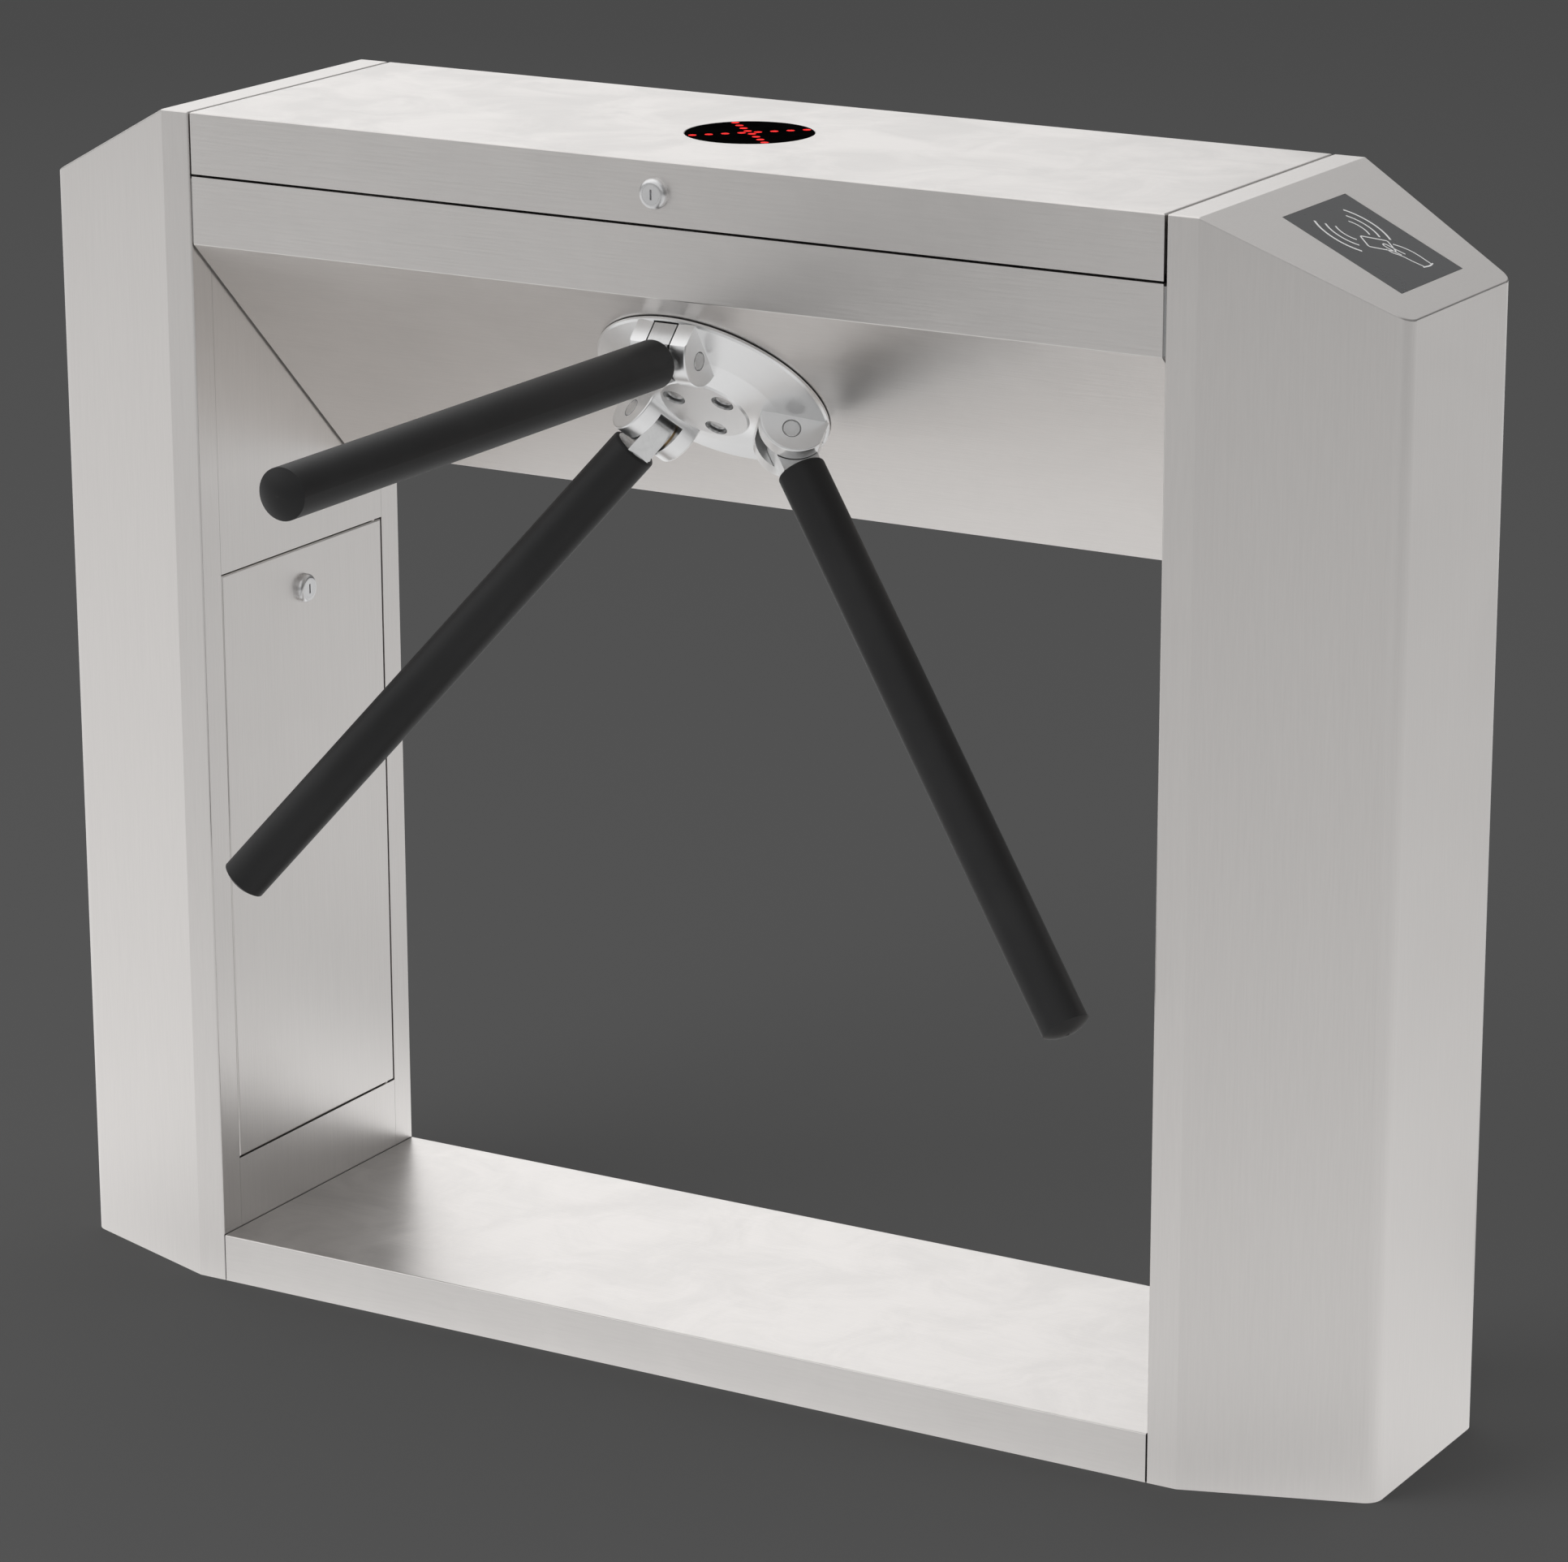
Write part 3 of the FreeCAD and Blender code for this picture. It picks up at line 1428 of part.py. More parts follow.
def arm(index, turn):
    """An arm in its own frame: Z along the arm from the pivot, X along the pivot pin. Its heel fills the
    clevis behind the root, level with the cheeks' outer ends."""
    seat = frame(0, dim.pivot_radius, dim.pivot_height, turn="x", angle=-dim.hub_tilt)
    half = dim.clevis_slot / 2 - dim.washer_thickness - dim.knuckle_play
    eye_radius = dim.pivot_height - dim.clevis_floor - dim.knuckle_gap
    tube_end = dim.arm_length - dim.arm_end_wall
    eye = cylinder(eye_radius, spread(half), "x")
    block = box(spread(half), spread(eye_radius), (0, dim.arm_root))
    reach = dim.cheek_radius - dim.cheek_trim
    behind_block = (reach - eye_radius * sine(dim.hub_tilt)) * tangent(dim.hub_tilt)
    heel_top = behind_block - eye_radius * cosine(dim.hub_tilt) + MARGIN
    outline = polygon((0, -eye_radius), (reach, -eye_radius), (reach, heel_top), (0, 0))
    heel = place(prism("YZ_Plane", [outline], spread(half)), frame(turn="x", angle=dim.hub_tilt))
    tube = cylinder(dim.arm_tube_radius, (dim.arm_root, tube_end))
    pin_bore = cylinder(dim.arm_pin_radius + dim.running_gap, spread(dim.clevis_width), "x")
    inside = cylinder(
        dim.arm_tube_radius - dim.arm_tube_wall,
        (dim.arm_root + dim.arm_end_wall, tube_end + MARGIN),
    )
    core = cut(fuse(eye, block, heel, tube), pin_bore, inside)
    node(f"arm_{index}_core", place(core, hub_frame, turn, seat))
    shoulder = dim.arm_length - dim.arm_dome
    dome_radius = (dim.arm_radius * dim.arm_radius + dim.arm_dome * dim.arm_dome) / (2 * dim.arm_dome)
    soft_edge = dim.arm_radius - dim.arm_tube_radius - dim.sleeve_edge
    sleeve = turned(
        (dim.arm_tube_radius, dim.arm_root),
        (dim.arm_radius - soft_edge, dim.arm_root),
        (dim.arm_radius, dim.arm_root + soft_edge),
        (dim.arm_radius, shoulder),
        (0, dim.arm_length),
        (0, tube_end),
        (dim.arm_tube_radius, tube_end),
        arcs={
            1: {"centre": (dim.arm_radius - soft_edge, dim.arm_root + soft_edge), "held": "x"},
            3: {"centre": (0, dim.arm_length - dome_radius), "held": "x"},
        },
    )
    node(f"arm_{index}_sleeve", place(sleeve, hub_frame, turn, seat))


gears()
main_shaft()
lock_wheel()
shaft_end()
hub_casting()
arm_pivots()
for index, turn in enumerate(arm_turns(), start=1):
    arm(index, turn)


# Check and write

doc.recompute()
faults = [thing.Label for thing in doc.Objects if {"Invalid", "Error"} & set(thing.State)]
for label, thing in nodes.items():
    if thing.Shape.isNull() or not thing.Shape.isValid() or not thing.Shape.Solids:
        faults.append(label)
if faults:
    raise SystemExit("failed objects: " + ", ".join(faults))

os.makedirs("parts", exist_ok=True)
for label, thing in nodes.items():
    thing.Shape.exportStep(f"parts/{label}.step")
print(len(nodes), "sub-parts written")
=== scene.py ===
# %% [markdown]
# A tripod turnstile in brushed stainless steel.
# The solids come ready made, at their real size and in their places. This lesson gives each of them its
# finish, adds the small things that a sheet-metal model leaves out, and lights the whole in a studio.
# Lengths are metres. The walkway with the arms is on the -Y side, and +Z is up.

# %% Load the solids
import json
import math

import bmesh
import bpy
import numpy as np
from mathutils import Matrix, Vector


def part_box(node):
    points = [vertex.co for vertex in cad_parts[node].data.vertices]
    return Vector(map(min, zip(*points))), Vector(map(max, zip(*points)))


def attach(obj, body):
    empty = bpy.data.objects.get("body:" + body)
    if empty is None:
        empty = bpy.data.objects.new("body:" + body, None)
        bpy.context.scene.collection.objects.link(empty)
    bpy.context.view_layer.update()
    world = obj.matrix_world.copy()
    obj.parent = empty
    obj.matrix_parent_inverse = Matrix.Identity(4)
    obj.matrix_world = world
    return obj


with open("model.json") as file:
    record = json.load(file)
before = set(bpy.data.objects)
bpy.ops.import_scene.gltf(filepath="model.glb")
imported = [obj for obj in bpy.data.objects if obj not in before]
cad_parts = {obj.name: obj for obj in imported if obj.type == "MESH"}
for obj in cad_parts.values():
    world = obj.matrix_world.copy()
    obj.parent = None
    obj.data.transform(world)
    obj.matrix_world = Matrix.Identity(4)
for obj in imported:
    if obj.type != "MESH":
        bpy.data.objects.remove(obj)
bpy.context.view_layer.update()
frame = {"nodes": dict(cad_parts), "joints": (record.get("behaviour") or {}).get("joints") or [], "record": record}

nodes = frame["nodes"]

# %% [markdown]
# The photograph was taken from the right of the walkway, a little above the lid, with a long lens. A
# camera matched to its straight edges stands four and a half metres away. The picture's middle isn't the
# lens axis, so two shifts move the frame.

# %% Camera at the photograph's viewing angle
VIEW_AZIMUTH = 29.885
VIEW_ELEVATION = 17.137
CAMERA_PLACE = (2.2854, -3.8431, 1.7632)
LENS_MM = 134.35
FRAME_SHIFT = (-0.0334, 0.0580)

camera_data = bpy.data.cameras.new("photo_camera")
camera_data.sensor_width = 36.0
camera_data.lens = LENS_MM
camera_data.shift_x, camera_data.shift_y = FRAME_SHIFT
camera_data.clip_end = 60.0
camera = bpy.data.objects.new("photo_camera", camera_data)
camera.location = CAMERA_PLACE
camera.rotation_euler = (math.radians(90.0 - VIEW_ELEVATION), 0.0, math.radians(VIEW_AZIMUTH))
bpy.context.scene.collection.objects.link(camera)
bpy.context.scene.camera = camera
bpy.context.scene.view_settings.view_transform = "Standard"
print("camera", [round(v, 3) for v in camera.location])

# %% [markdown]
# Metal shows what stands around it, so the studio matters more than the lamps. A pale floor fills the
# lower half of every reflection and a pale sky the upper half. Both are node trees, as the finishes are.
# A tree is easier to read when one helper makes a node, sets its values and joins its inputs.

# %% Helper for node trees
def add_node(tree, kind, inputs=None, **settings):
    """A new shader node. inputs gives values or sockets by the input's name or number."""
    made = tree.nodes.new(kind)
    for name, value in settings.items():
        setattr(made, name, value)
    for key, value in (inputs or {}).items():
        if isinstance(value, bpy.types.NodeSocket):
            tree.links.new(value, made.inputs[key])
        else:
            made.inputs[key].default_value = value
    return made


def calculate(tree, operation, *values):
    """One Math node. Values are numbers or sockets."""
    return add_node(tree, "ShaderNodeMath", dict(enumerate(values)), operation=operation).outputs[0]


def combine(tree, operation, *vectors):
    """One Vector Math node. Vectors are triples or sockets."""
    return add_node(tree, "ShaderNodeVectorMath", dict(enumerate(vectors)), operation=operation).outputs[0]


def between(tree, factor, first, second):
    """A colour between two colours, by a factor socket."""
    mixed = add_node(tree, "ShaderNodeMix", {"Factor": factor}, data_type="RGBA")
    for socket, value in ((mixed.inputs[6], first), (mixed.inputs[7], second)):
        if isinstance(value, bpy.types.NodeSocket):
            tree.links.new(value, socket)
        else:
            socket.default_value = (*value, 1.0)
    return mixed.outputs[2]


def soft_step(tree, value, start, end, most, least=0.0):
    """A smooth rise from least to most while value goes from start to end."""
    inputs = {"Value": value, "From Min": start, "From Max": end, "To Min": least, "To Max": most}
    return add_node(tree, "ShaderNodeMapRange", inputs, interpolation_type="SMOOTHSTEP").outputs[0]


def hill(tree, value, centre, width, height):
    """A smooth hill around a centre: height / (1 + ((value - centre) / width) squared)."""
    share = calculate(tree, "DIVIDE", calculate(tree, "SUBTRACT", value, centre), width)
    return calculate(tree, "DIVIDE", height, calculate(tree, "MULTIPLY_ADD", share, share, 1.0))


# %% [markdown]
# The floor is a pale diffuse sheet that keeps the object's shadow. Metal sees it a little differently:
# for glossy rays it gives light of its own, a painted pool of light brightest under the beam and on the
# left, so that the steel shows the slow gradients of a wide soft lamp. Two bands before and behind the sill
# are painted shade in that glow, where the cabinet would shade the floor. A strength of 1 would be white.
# The camera sees the same floor painted dark grey, from which the pale cabinet and the black arms both
# stand out.

# %% Floor
FLOOR_HALF = 9.0
FLOOR_GREY = 0.74  # as the light sees it
FLOOR_SEEN = 0.12  # as the camera sees it
FLOOR_FAR = 0.535  # glow in mirrors, far from the object
# painted light, seen only in mirrors: a pool of glow, and gains towards the left and the right
POOL_PLACE = (-0.10, 0.20, 0.0)
POOL_SHAPE = (0.7, 1.0, 1.0)
POOL_GAIN = 0.57
POOL_RADIUS = 0.62
LEFT_GAIN = 0.20
LEFT_LEAN = 0.6  # how much the left side's glow turns towards the back
LEFT_SPAN = (-0.3, 2.0)
RIGHT_GAIN = 0.05
RIGHT_SPAN = (0.4, 1.3)
# painted shade: two darker bands in the mirrors' glow, before and behind the sill
PAINTED_SHADES = ((0.55, 0.19, 0.48), (-0.20, 0.12, 0.21))  # place along Y, half width and depth of each band
SHADE_SPAN = (0.9, 0.5)  # the bands fade out between these distances from the middle

floor_mesh = bpy.data.meshes.new("studio_floor")
square = np.array([[-1, -1, 0], [1, -1, 0], [1, 1, 0], [-1, 1, 0]], float) * FLOOR_HALF
floor_mesh.from_pydata(square.tolist(), [], [(0, 1, 2, 3)])
floor = bpy.data.objects.new("studio_floor", floor_mesh)
bpy.context.scene.collection.objects.link(floor)


def floor_paint():
    paint = bpy.data.materials.new("studio_floor")
    paint.use_nodes = True
    tree = paint.node_tree
    tree.nodes.clear()
    place = add_node(tree, "ShaderNodeTexCoord").outputs["Object"]
    oval = combine(tree, "MULTIPLY", combine(tree, "SUBTRACT", place, POOL_PLACE), POOL_SHAPE)
    away = add_node(tree, "ShaderNodeVectorMath", {0: oval}, operation="LENGTH").outputs["Value"]
    split = add_node(tree, "ShaderNodeSeparateXYZ", {0: place}).outputs
    left = calculate(tree, "MULTIPLY", split["X"], -1.0)
    lean = calculate(tree, "MULTIPLY_ADD", split["Y"], LEFT_LEAN, left)
    # painted light for mirrors: a far level, a gain to the left, a pool and a gain to the right
    glow = calculate(tree, "ADD", FLOOR_FAR, soft_step(tree, lean, *LEFT_SPAN, LEFT_GAIN))
    glow = calculate(tree, "ADD", glow, hill(tree, away, 0.0, POOL_RADIUS, POOL_GAIN))
    glow = calculate(tree, "ADD", glow, soft_step(tree, split["X"], *RIGHT_SPAN, RIGHT_GAIN))
    lane = soft_step(tree, calculate(tree, "ABSOLUTE", split["X"]), *SHADE_SPAN, 1.0)
    # less the two bands of painted shade
    for along, half, depth in PAINTED_SHADES:
        painted_shade = calculate(tree, "MULTIPLY", lane, hill(tree, split["Y"], along, half, depth))
        glow = calculate(tree, "SUBTRACT", glow, painted_shade)
    glow = calculate(tree, "MINIMUM", glow, 1.0)
    ray = add_node(tree, "ShaderNodeLightPath")
    mirrored = calculate(tree, "MAXIMUM", ray.outputs["Is Glossy Ray"], ray.outputs["Is Transmission Ray"])
    seen = between(tree, ray.outputs["Is Camera Ray"], (FLOOR_GREY,) * 3, (FLOOR_SEEN,) * 3)
    grey = add_node(tree, "ShaderNodeBsdfDiffuse", {"Color": seen})
    shine = add_node(tree, "ShaderNodeEmission", {"Strength": glow})
    shown = add_node(tree, "ShaderNodeMixShader", {0: mirrored, 1: grey.outputs[0], 2: shine.outputs[0]})
    add_node(tree, "ShaderNodeOutputMaterial", {"Surface": shown.outputs[0]})
    return paint


floor_mesh.materials.append(floor_paint())
print("floor", FLOOR_HALF * 2, "m square")

# %% [markdown]
# The sky is a dome that fades from white on the left to grey on the right, as in a studio with one big
# soft box. Only mirrors see that fade. What lights the scene is an even, weaker dome, and three wide
# lamps that add the direction. Two of the lamps don't show in mirrors, because a lamp's image would burn
# out a whole face of the steel. The camera sees the sky in the far floor's tone, so that the floor's edge
# doesn't show.

# %% Sky and lamps
SKY_MIDDLE = 0.45
SKY_FADE = 0.97
SKY_LEAST = 0.25
SKY_LIGHT = 0.55  # as the light sees it
SKY_SEEN = 0.066  # as the camera sees it
FRONT_GAIN = 0.40
FRONT_SPAN = (0.3, 0.8)
OVERHEAD_GAIN = 0.38
OVERHEAD_SPAN = (0.65, 0.92)
HORIZON_SHARE = 0.28
HORIZON_SPAN = (0.06, 0.36)
LAMPS = {
    # name: (place, aim, width, height, watts, shows in mirrors)
    "key": ((-2.6, -3.2, 3.4), (0.0, 0.0, 0.5), 3.6, 3.6, 70.0, False),
    "top": ((0.4, 1.0, 4.2), (0.0, 0.0, 0.9), 3.6, 2.4, 12.0, False),
    "back": ((-3.4, 4.6, 2.6), (0.0, 0.0, 0.4), 3.2, 2.0, 7.5, True),
}


def studio_sky():
    sky = bpy.data.worlds.new("studio_sky")
    sky.use_nodes = True
    tree = sky.node_tree
    tree.nodes.clear()
    towards = add_node(tree, "ShaderNodeTexCoord").outputs["Generated"]
    split = add_node(tree, "ShaderNodeSeparateXYZ", {0: towards}).outputs
    dome = calculate(tree, "MULTIPLY_ADD", split["X"], -SKY_FADE, SKY_MIDDLE)
    front = calculate(tree, "MULTIPLY", split["Y"], -1.0)
    least = soft_step(tree, front, *FRONT_SPAN, SKY_LEAST + FRONT_GAIN, SKY_LEAST)
    dome = calculate(tree, "MAXIMUM", dome, least)
    dome = calculate(tree, "ADD", dome, soft_step(tree, split["Z"], *OVERHEAD_SPAN, OVERHEAD_GAIN))
    dome = calculate(tree, "MINIMUM", dome, 1.0)
    dome = calculate(tree, "MULTIPLY", dome, soft_step(tree, split["Z"], *HORIZON_SPAN, 1.0, HORIZON_SHARE))
    ray = add_node(tree, "ShaderNodeLightPath")
    mirrored = calculate(tree, "MAXIMUM", ray.outputs["Is Glossy Ray"], ray.outputs["Is Transmission Ray"])
    plain = calculate(tree, "MULTIPLY_ADD", ray.outputs["Is Camera Ray"], SKY_SEEN - SKY_LIGHT, SKY_LIGHT)
    strength = calculate(tree, "MULTIPLY_ADD", mirrored, calculate(tree, "SUBTRACT", dome, plain), plain)
    glow = add_node(tree, "ShaderNodeBackground", {"Color": (1.0, 1.0, 1.0, 1.0), "Strength": strength})
    add_node(tree, "ShaderNodeOutputWorld", {"Surface": glow.outputs[0]})
    return sky


bpy.context.scene.world = studio_sky()
for name, (place, aim, width, height, watts, in_mirrors) in LAMPS.items():
    lamp_data = bpy.data.lights.new(f"lamp_{name}", "AREA")
    lamp_data.shape = "RECTANGLE"
    lamp_data.size = width
    lamp_data.size_y = height
    lamp_data.energy = watts
    lamp = bpy.data.objects.new(f"lamp_{name}", lamp_data)
    lamp.location = place
    lamp.visible_glossy = in_mirrors
    towards = np.array(aim) - np.array(place)
    level = math.hypot(towards[0], towards[1])
    lamp.rotation_euler = (math.atan2(level, -towards[2]), 0.0, math.atan2(-towards[0], towards[1]))
    bpy.context.scene.collection.objects.link(lamp)
print("lamps:", len(LAMPS))

# %% [markdown]
# Brushed sheet is a belt-ground surface: thousands of short scratches in one direction. The scratches
# could be an image, but a noise that is stretched along the grain has no seams and no size limit. Two
# such noises, one fine and one broad, make the grain. It is a group, because panels, locks and shafts all
# use it.

# %% Grain of brushed metal
BROAD_SHARE = 0.12  # the broad bands are this share of the fine grain's frequency


def new_group(name, sockets_in, sockets_out):
    """A shader group with named inputs and outputs, and its two end nodes."""
    group = bpy.data.node_groups.new(name, "ShaderNodeTree")
    for label, kind, value in sockets_in:
        socket = group.interface.new_socket(label, in_out="INPUT", socket_type=f"NodeSocket{kind}")
        socket.default_value = value
    for label, kind in sockets_out:
        group.interface.new_socket(label, in_out="OUTPUT", socket_type=f"NodeSocket{kind}")
    return group, add_node(group, "NodeGroupInput"), add_node(group, "NodeGroupOutput")


def noise(tree, place, scale=1.0, detail=3.0, roughness=0.55, distortion=0.0):
    """A noise from 0 to 1 at a place socket."""
    values = {"Vector": place, "Scale": scale, "Detail": detail, "Roughness": roughness}
    return add_node(tree, "ShaderNodeTexNoise", {**values, "Distortion": distortion}).outputs["Fac"]


grain_group, grain_in, grain_out = new_group(
    "brushed_grain",
    [("Place", "Vector", (0.0, 0.0, 0.0)), ("Stretch", "Vector", (8.0, 600.0, 600.0))],
    [("Grain", "Float"), ("Bands", "Float")],
)
grain_place, grain_stretch = grain_in.outputs["Place"], grain_in.outputs["Stretch"]
broad_stretch = combine(grain_group, "MULTIPLY", grain_stretch, (BROAD_SHARE,) * 3)
fine = noise(grain_group, combine(grain_group, "MULTIPLY", grain_place, grain_stretch))
bands = noise(grain_group, combine(grain_group, "MULTIPLY", grain_place, broad_stretch), detail=2.0)
grain_group.links.new(fine, grain_out.inputs["Grain"])
grain_group.links.new(bands, grain_out.inputs["Bands"])
print("group:", grain_group.name)

# %% [markdown]
# On the broad level faces the polish is uneven, in soft-edged patches the size of a hand. A low noise
# with strong distortion gives such clouds. Its output is spread over the whole range from 0 to 1.

# %% Clouds of uneven polish
CLOUD_SPAN = (0.32, 0.68)

cloud_group, cloud_in, cloud_out = new_group(
    "polish_clouds",
    [("Place", "Vector", (0.0, 0.0, 0.0)), ("Size", "Float", 12.0)],
    [("Cloud", "Float")],
)
cloud_place, cloud_size = cloud_in.outputs["Place"], cloud_in.outputs["Size"]
patches = noise(cloud_group, cloud_place, cloud_size, detail=6.0, roughness=0.62, distortion=0.7)
spread = soft_step(cloud_group, patches, *CLOUD_SPAN, 1.0)
cloud_group.links.new(spread, cloud_out.inputs["Cloud"])
print("group:", cloud_group.name)

# %% [markdown]
# Every finish starts alike: a material with a Principled shader, and a socket that gives the place on the
# piece. Helpers for that, for placing a group, for a value that swings about its middle and for a bump
# keep each recipe down to what is special about it.

# %% Helpers for a finish
def new_finish(name):
    """A material with a Principled shader, its tree and a socket of Object coordinates."""
    finish = bpy.data.materials.new(name)
    finish.use_nodes = True
    tree = finish.node_tree
    shader = tree.nodes["Principled BSDF"]
    place = add_node(tree, "ShaderNodeTexCoord").outputs["Object"]
    return finish, tree, shader, place


def use_group(tree, group, **inputs):
    """A group placed in a tree, with values or sockets by name. Gives its outputs."""
    made = add_node(tree, "ShaderNodeGroup", node_tree=group)
    for label, value in inputs.items():
        if isinstance(value, bpy.types.NodeSocket):
            tree.links.new(value, made.inputs[label])
        else:
            made.inputs[label].default_value = value
    return made.outputs


def centred(tree, socket, amount, middle):
    """A value around a middle, moved by amount times a 0 to 1 socket."""
    return calculate(tree, "MULTIPLY_ADD", socket, amount, middle - amount / 2.0)


def raise_surface(tree, shader, height, depth):
    """Feed a height socket to the shader's normal through a Bump node. depth is in metres."""
    bump = add_node(tree, "ShaderNodeBump", {"Height": height, "Distance": depth, "Strength": 1.0})
    tree.links.new(bump.outputs[0], shader.inputs["Normal"])


# %% [markdown]
# The cabinet's sheets are one material with two grain directions: upright on the pedestals, along the
# length on the beam, the lid and the sill. The scratches move the roughness and the tone, and lift the
# surface by less than a tenth of a millimetre, which spreads each highlight across the grain.

# %% Stainless sheet, upright and level
GRAIN_LONG = 26.0
GRAIN_FINE = 520.0
SHEET_TONE = 0.81
SHEET_TINT = (1.0, 0.969, 0.945)
SHEET_ROUGHNESS = 0.36
GRAIN_TONE = 0.07  # how far the grain moves the tone
BAND_TONE = 0.015
GRAIN_ROUGHNESS = 0.08
CLOUD_ROUGHNESS = 0.05
SCRATCH_DEPTH = 0.00009
UPWARD_SPAN = (0.6, 0.9)  # a face counts as level while its normal's height goes through this span
UPRIGHT_CLOUD = 0.2  # share of the clouds that is left on the other faces


def stainless(name, stretch, cloud_size, cloud_tone, only_upward=False):
    """Brushed sheet. With only_upward, the clouds of polish fade on faces that don't look up."""
    finish, tree, shader, place = new_finish(name)
    grain = use_group(tree, grain_group, Place=place, Stretch=stretch)
    cloud = use_group(tree, cloud_group, Place=place, Size=cloud_size)["Cloud"]
    if only_upward:
        facing = add_node(tree, "ShaderNodeTexCoord").outputs["Normal"]
        rise = add_node(tree, "ShaderNodeSeparateXYZ", {0: facing}).outputs["Z"]
        share = soft_step(tree, rise, *UPWARD_SPAN, 1.0, UPRIGHT_CLOUD)
        cloud = calculate(tree, "MULTIPLY_ADD", calculate(tree, "SUBTRACT", cloud, 0.5), share, 0.5)
    tone = centred(tree, grain["Grain"], GRAIN_TONE, SHEET_TONE)
    tone = calculate(tree, "ADD", tone, centred(tree, grain["Bands"], BAND_TONE, 0.0))
    tone = calculate(tree, "ADD", tone, centred(tree, cloud, cloud_tone, 0.0))
    colour = add_node(tree, "ShaderNodeCombineColor", {"Red": tone, "Green": tone, "Blue": tone})
    warm = add_node(tree, "ShaderNodeMix", {"Factor": 1.0}, data_type="RGBA", blend_type="MULTIPLY")
    tree.links.new(colour.outputs[0], warm.inputs[6])
    warm.inputs[7].default_value = (*SHEET_TINT, 1.0)
    tree.links.new(warm.outputs[2], shader.inputs["Base Color"])
    roughness = centred(tree, grain["Grain"], GRAIN_ROUGHNESS, SHEET_ROUGHNESS)
    roughness = calculate(tree, "ADD", roughness, centred(tree, cloud, CLOUD_ROUGHNESS, 0.0))
    tree.links.new(roughness, shader.inputs["Roughness"])
    shader.inputs["Metallic"].default_value = 1.0
    raise_surface(tree, shader, grain["Grain"], SCRATCH_DEPTH)
    return finish


upright_sheet = stainless("stainless_upright", (GRAIN_FINE, GRAIN_FINE, GRAIN_LONG), 5.0, 0.02)
level_sheet = stainless("stainless_level", (GRAIN_LONG, GRAIN_FINE, GRAIN_FINE), 13.0, 0.12, True)
print("sheets:", upright_sheet.name, level_sheet.name)

# %% [markdown]
# The hub is a polished light-alloy casting. It is brighter than the sheet and has no grain. Its
# reflections are soft, and a faint unevenness is left from polishing by hand, which the clouds give.

# %% Polished hub alloy
HUB_ROUGHNESS = 0.30
HUB_CLOUD = 38.0


def hub_alloy():
    """Cast alloy whose tone and roughness follow small, faint clouds of polish."""
    finish, tree, shader, place = new_finish("hub_alloy")
    cloud = use_group(tree, cloud_group, Place=place, Size=HUB_CLOUD)["Cloud"]
    colour = between(tree, cloud, (0.945, 0.946, 0.947), (0.96, 0.96, 0.96))
    tree.links.new(colour, shader.inputs["Base Color"])
    tree.links.new(centred(tree, cloud, 0.025, HUB_ROUGHNESS), shader.inputs["Roughness"])
    shader.inputs["Metallic"].default_value = 1.0
    return finish


# %% [markdown]
# Small metal parts share one recipe: a tone, a roughness, a grain direction and how strong the grain is.
# One function that takes these values is shorter than a material for each, and it keeps them alike.

# %% Plated and machined metals
EVEN_GRAIN = (900.0, 900.0, 900.0)
SMALL_CLOUD = 60.0
GRAIN_PART = 0.6  # the grain's part in the tone
CLOUD_PART = 0.4


def metal(name, dark, bright, roughness, stretch, grain_roughness=0.08, depth=0.00002):
    """Bare or plated metal, from dark to bright with its grain and with clouds of polish."""
    finish, tree, shader, place = new_finish(name)
    grain = use_group(tree, grain_group, Place=place, Stretch=stretch)["Grain"]
    cloud = use_group(tree, cloud_group, Place=place, Size=SMALL_CLOUD)["Cloud"]
    clouds = calculate(tree, "MULTIPLY", cloud, CLOUD_PART)
    share = calculate(tree, "MULTIPLY_ADD", grain, GRAIN_PART, clouds)
    tree.links.new(between(tree, share, dark, bright), shader.inputs["Base Color"])
    tree.links.new(centred(tree, grain, grain_roughness, roughness), shader.inputs["Roughness"])
    shader.inputs["Metallic"].default_value = 1.0
    raise_surface(tree, shader, grain, depth)
    return finish


# %% [markdown]
# The arms wear a satin black sleeve. Close up it has the fine leather-like grain of moulded rubberised
# plastic, and its edges look paler only because the shader reflects more at a glancing angle. Cases,
# paint, printing ink and the painted shade in narrow joints are made by the same function, with other
# tones and a finer or coarser grain.

# %% Moulded and painted skins
BROAD_CLOUD = 9.0
PIT_ROUGHNESS = 0.16  # how far the pits move the roughness


def moulded(name, dark, pale, roughness, grain_size, depth, specular=0.5):
    """A skin with a fine pitted grain, and a tone that drifts in broad clouds."""
    finish, tree, shader, place = new_finish(name)
    pits = noise(tree, place, grain_size, detail=4.0, roughness=0.6)
    cloud = use_group(tree, cloud_group, Place=place, Size=BROAD_CLOUD)["Cloud"]
    tree.links.new(between(tree, cloud, dark, pale), shader.inputs["Base Color"])
    tree.links.new(centred(tree, pits, PIT_ROUGHNESS, roughness), shader.inputs["Roughness"])
    shader.inputs["Specular IOR Level"].default_value = specular
    raise_surface(tree, shader, pits, depth)
    return finish


# %% [markdown]
# The card windows and the lamp window are smoked sheet: dark and satin, with a little haze of dust. The
# lamp lenses are red and give light, so they keep their colour in any studio.

# %% Window sheet and lamp lenses
HAZE_CLOUD = 45.0
HAZE_ROUGHNESS = 0.06
SPECKLE_SIZE = 700.0
LAMP_STRENGTH = 0.9


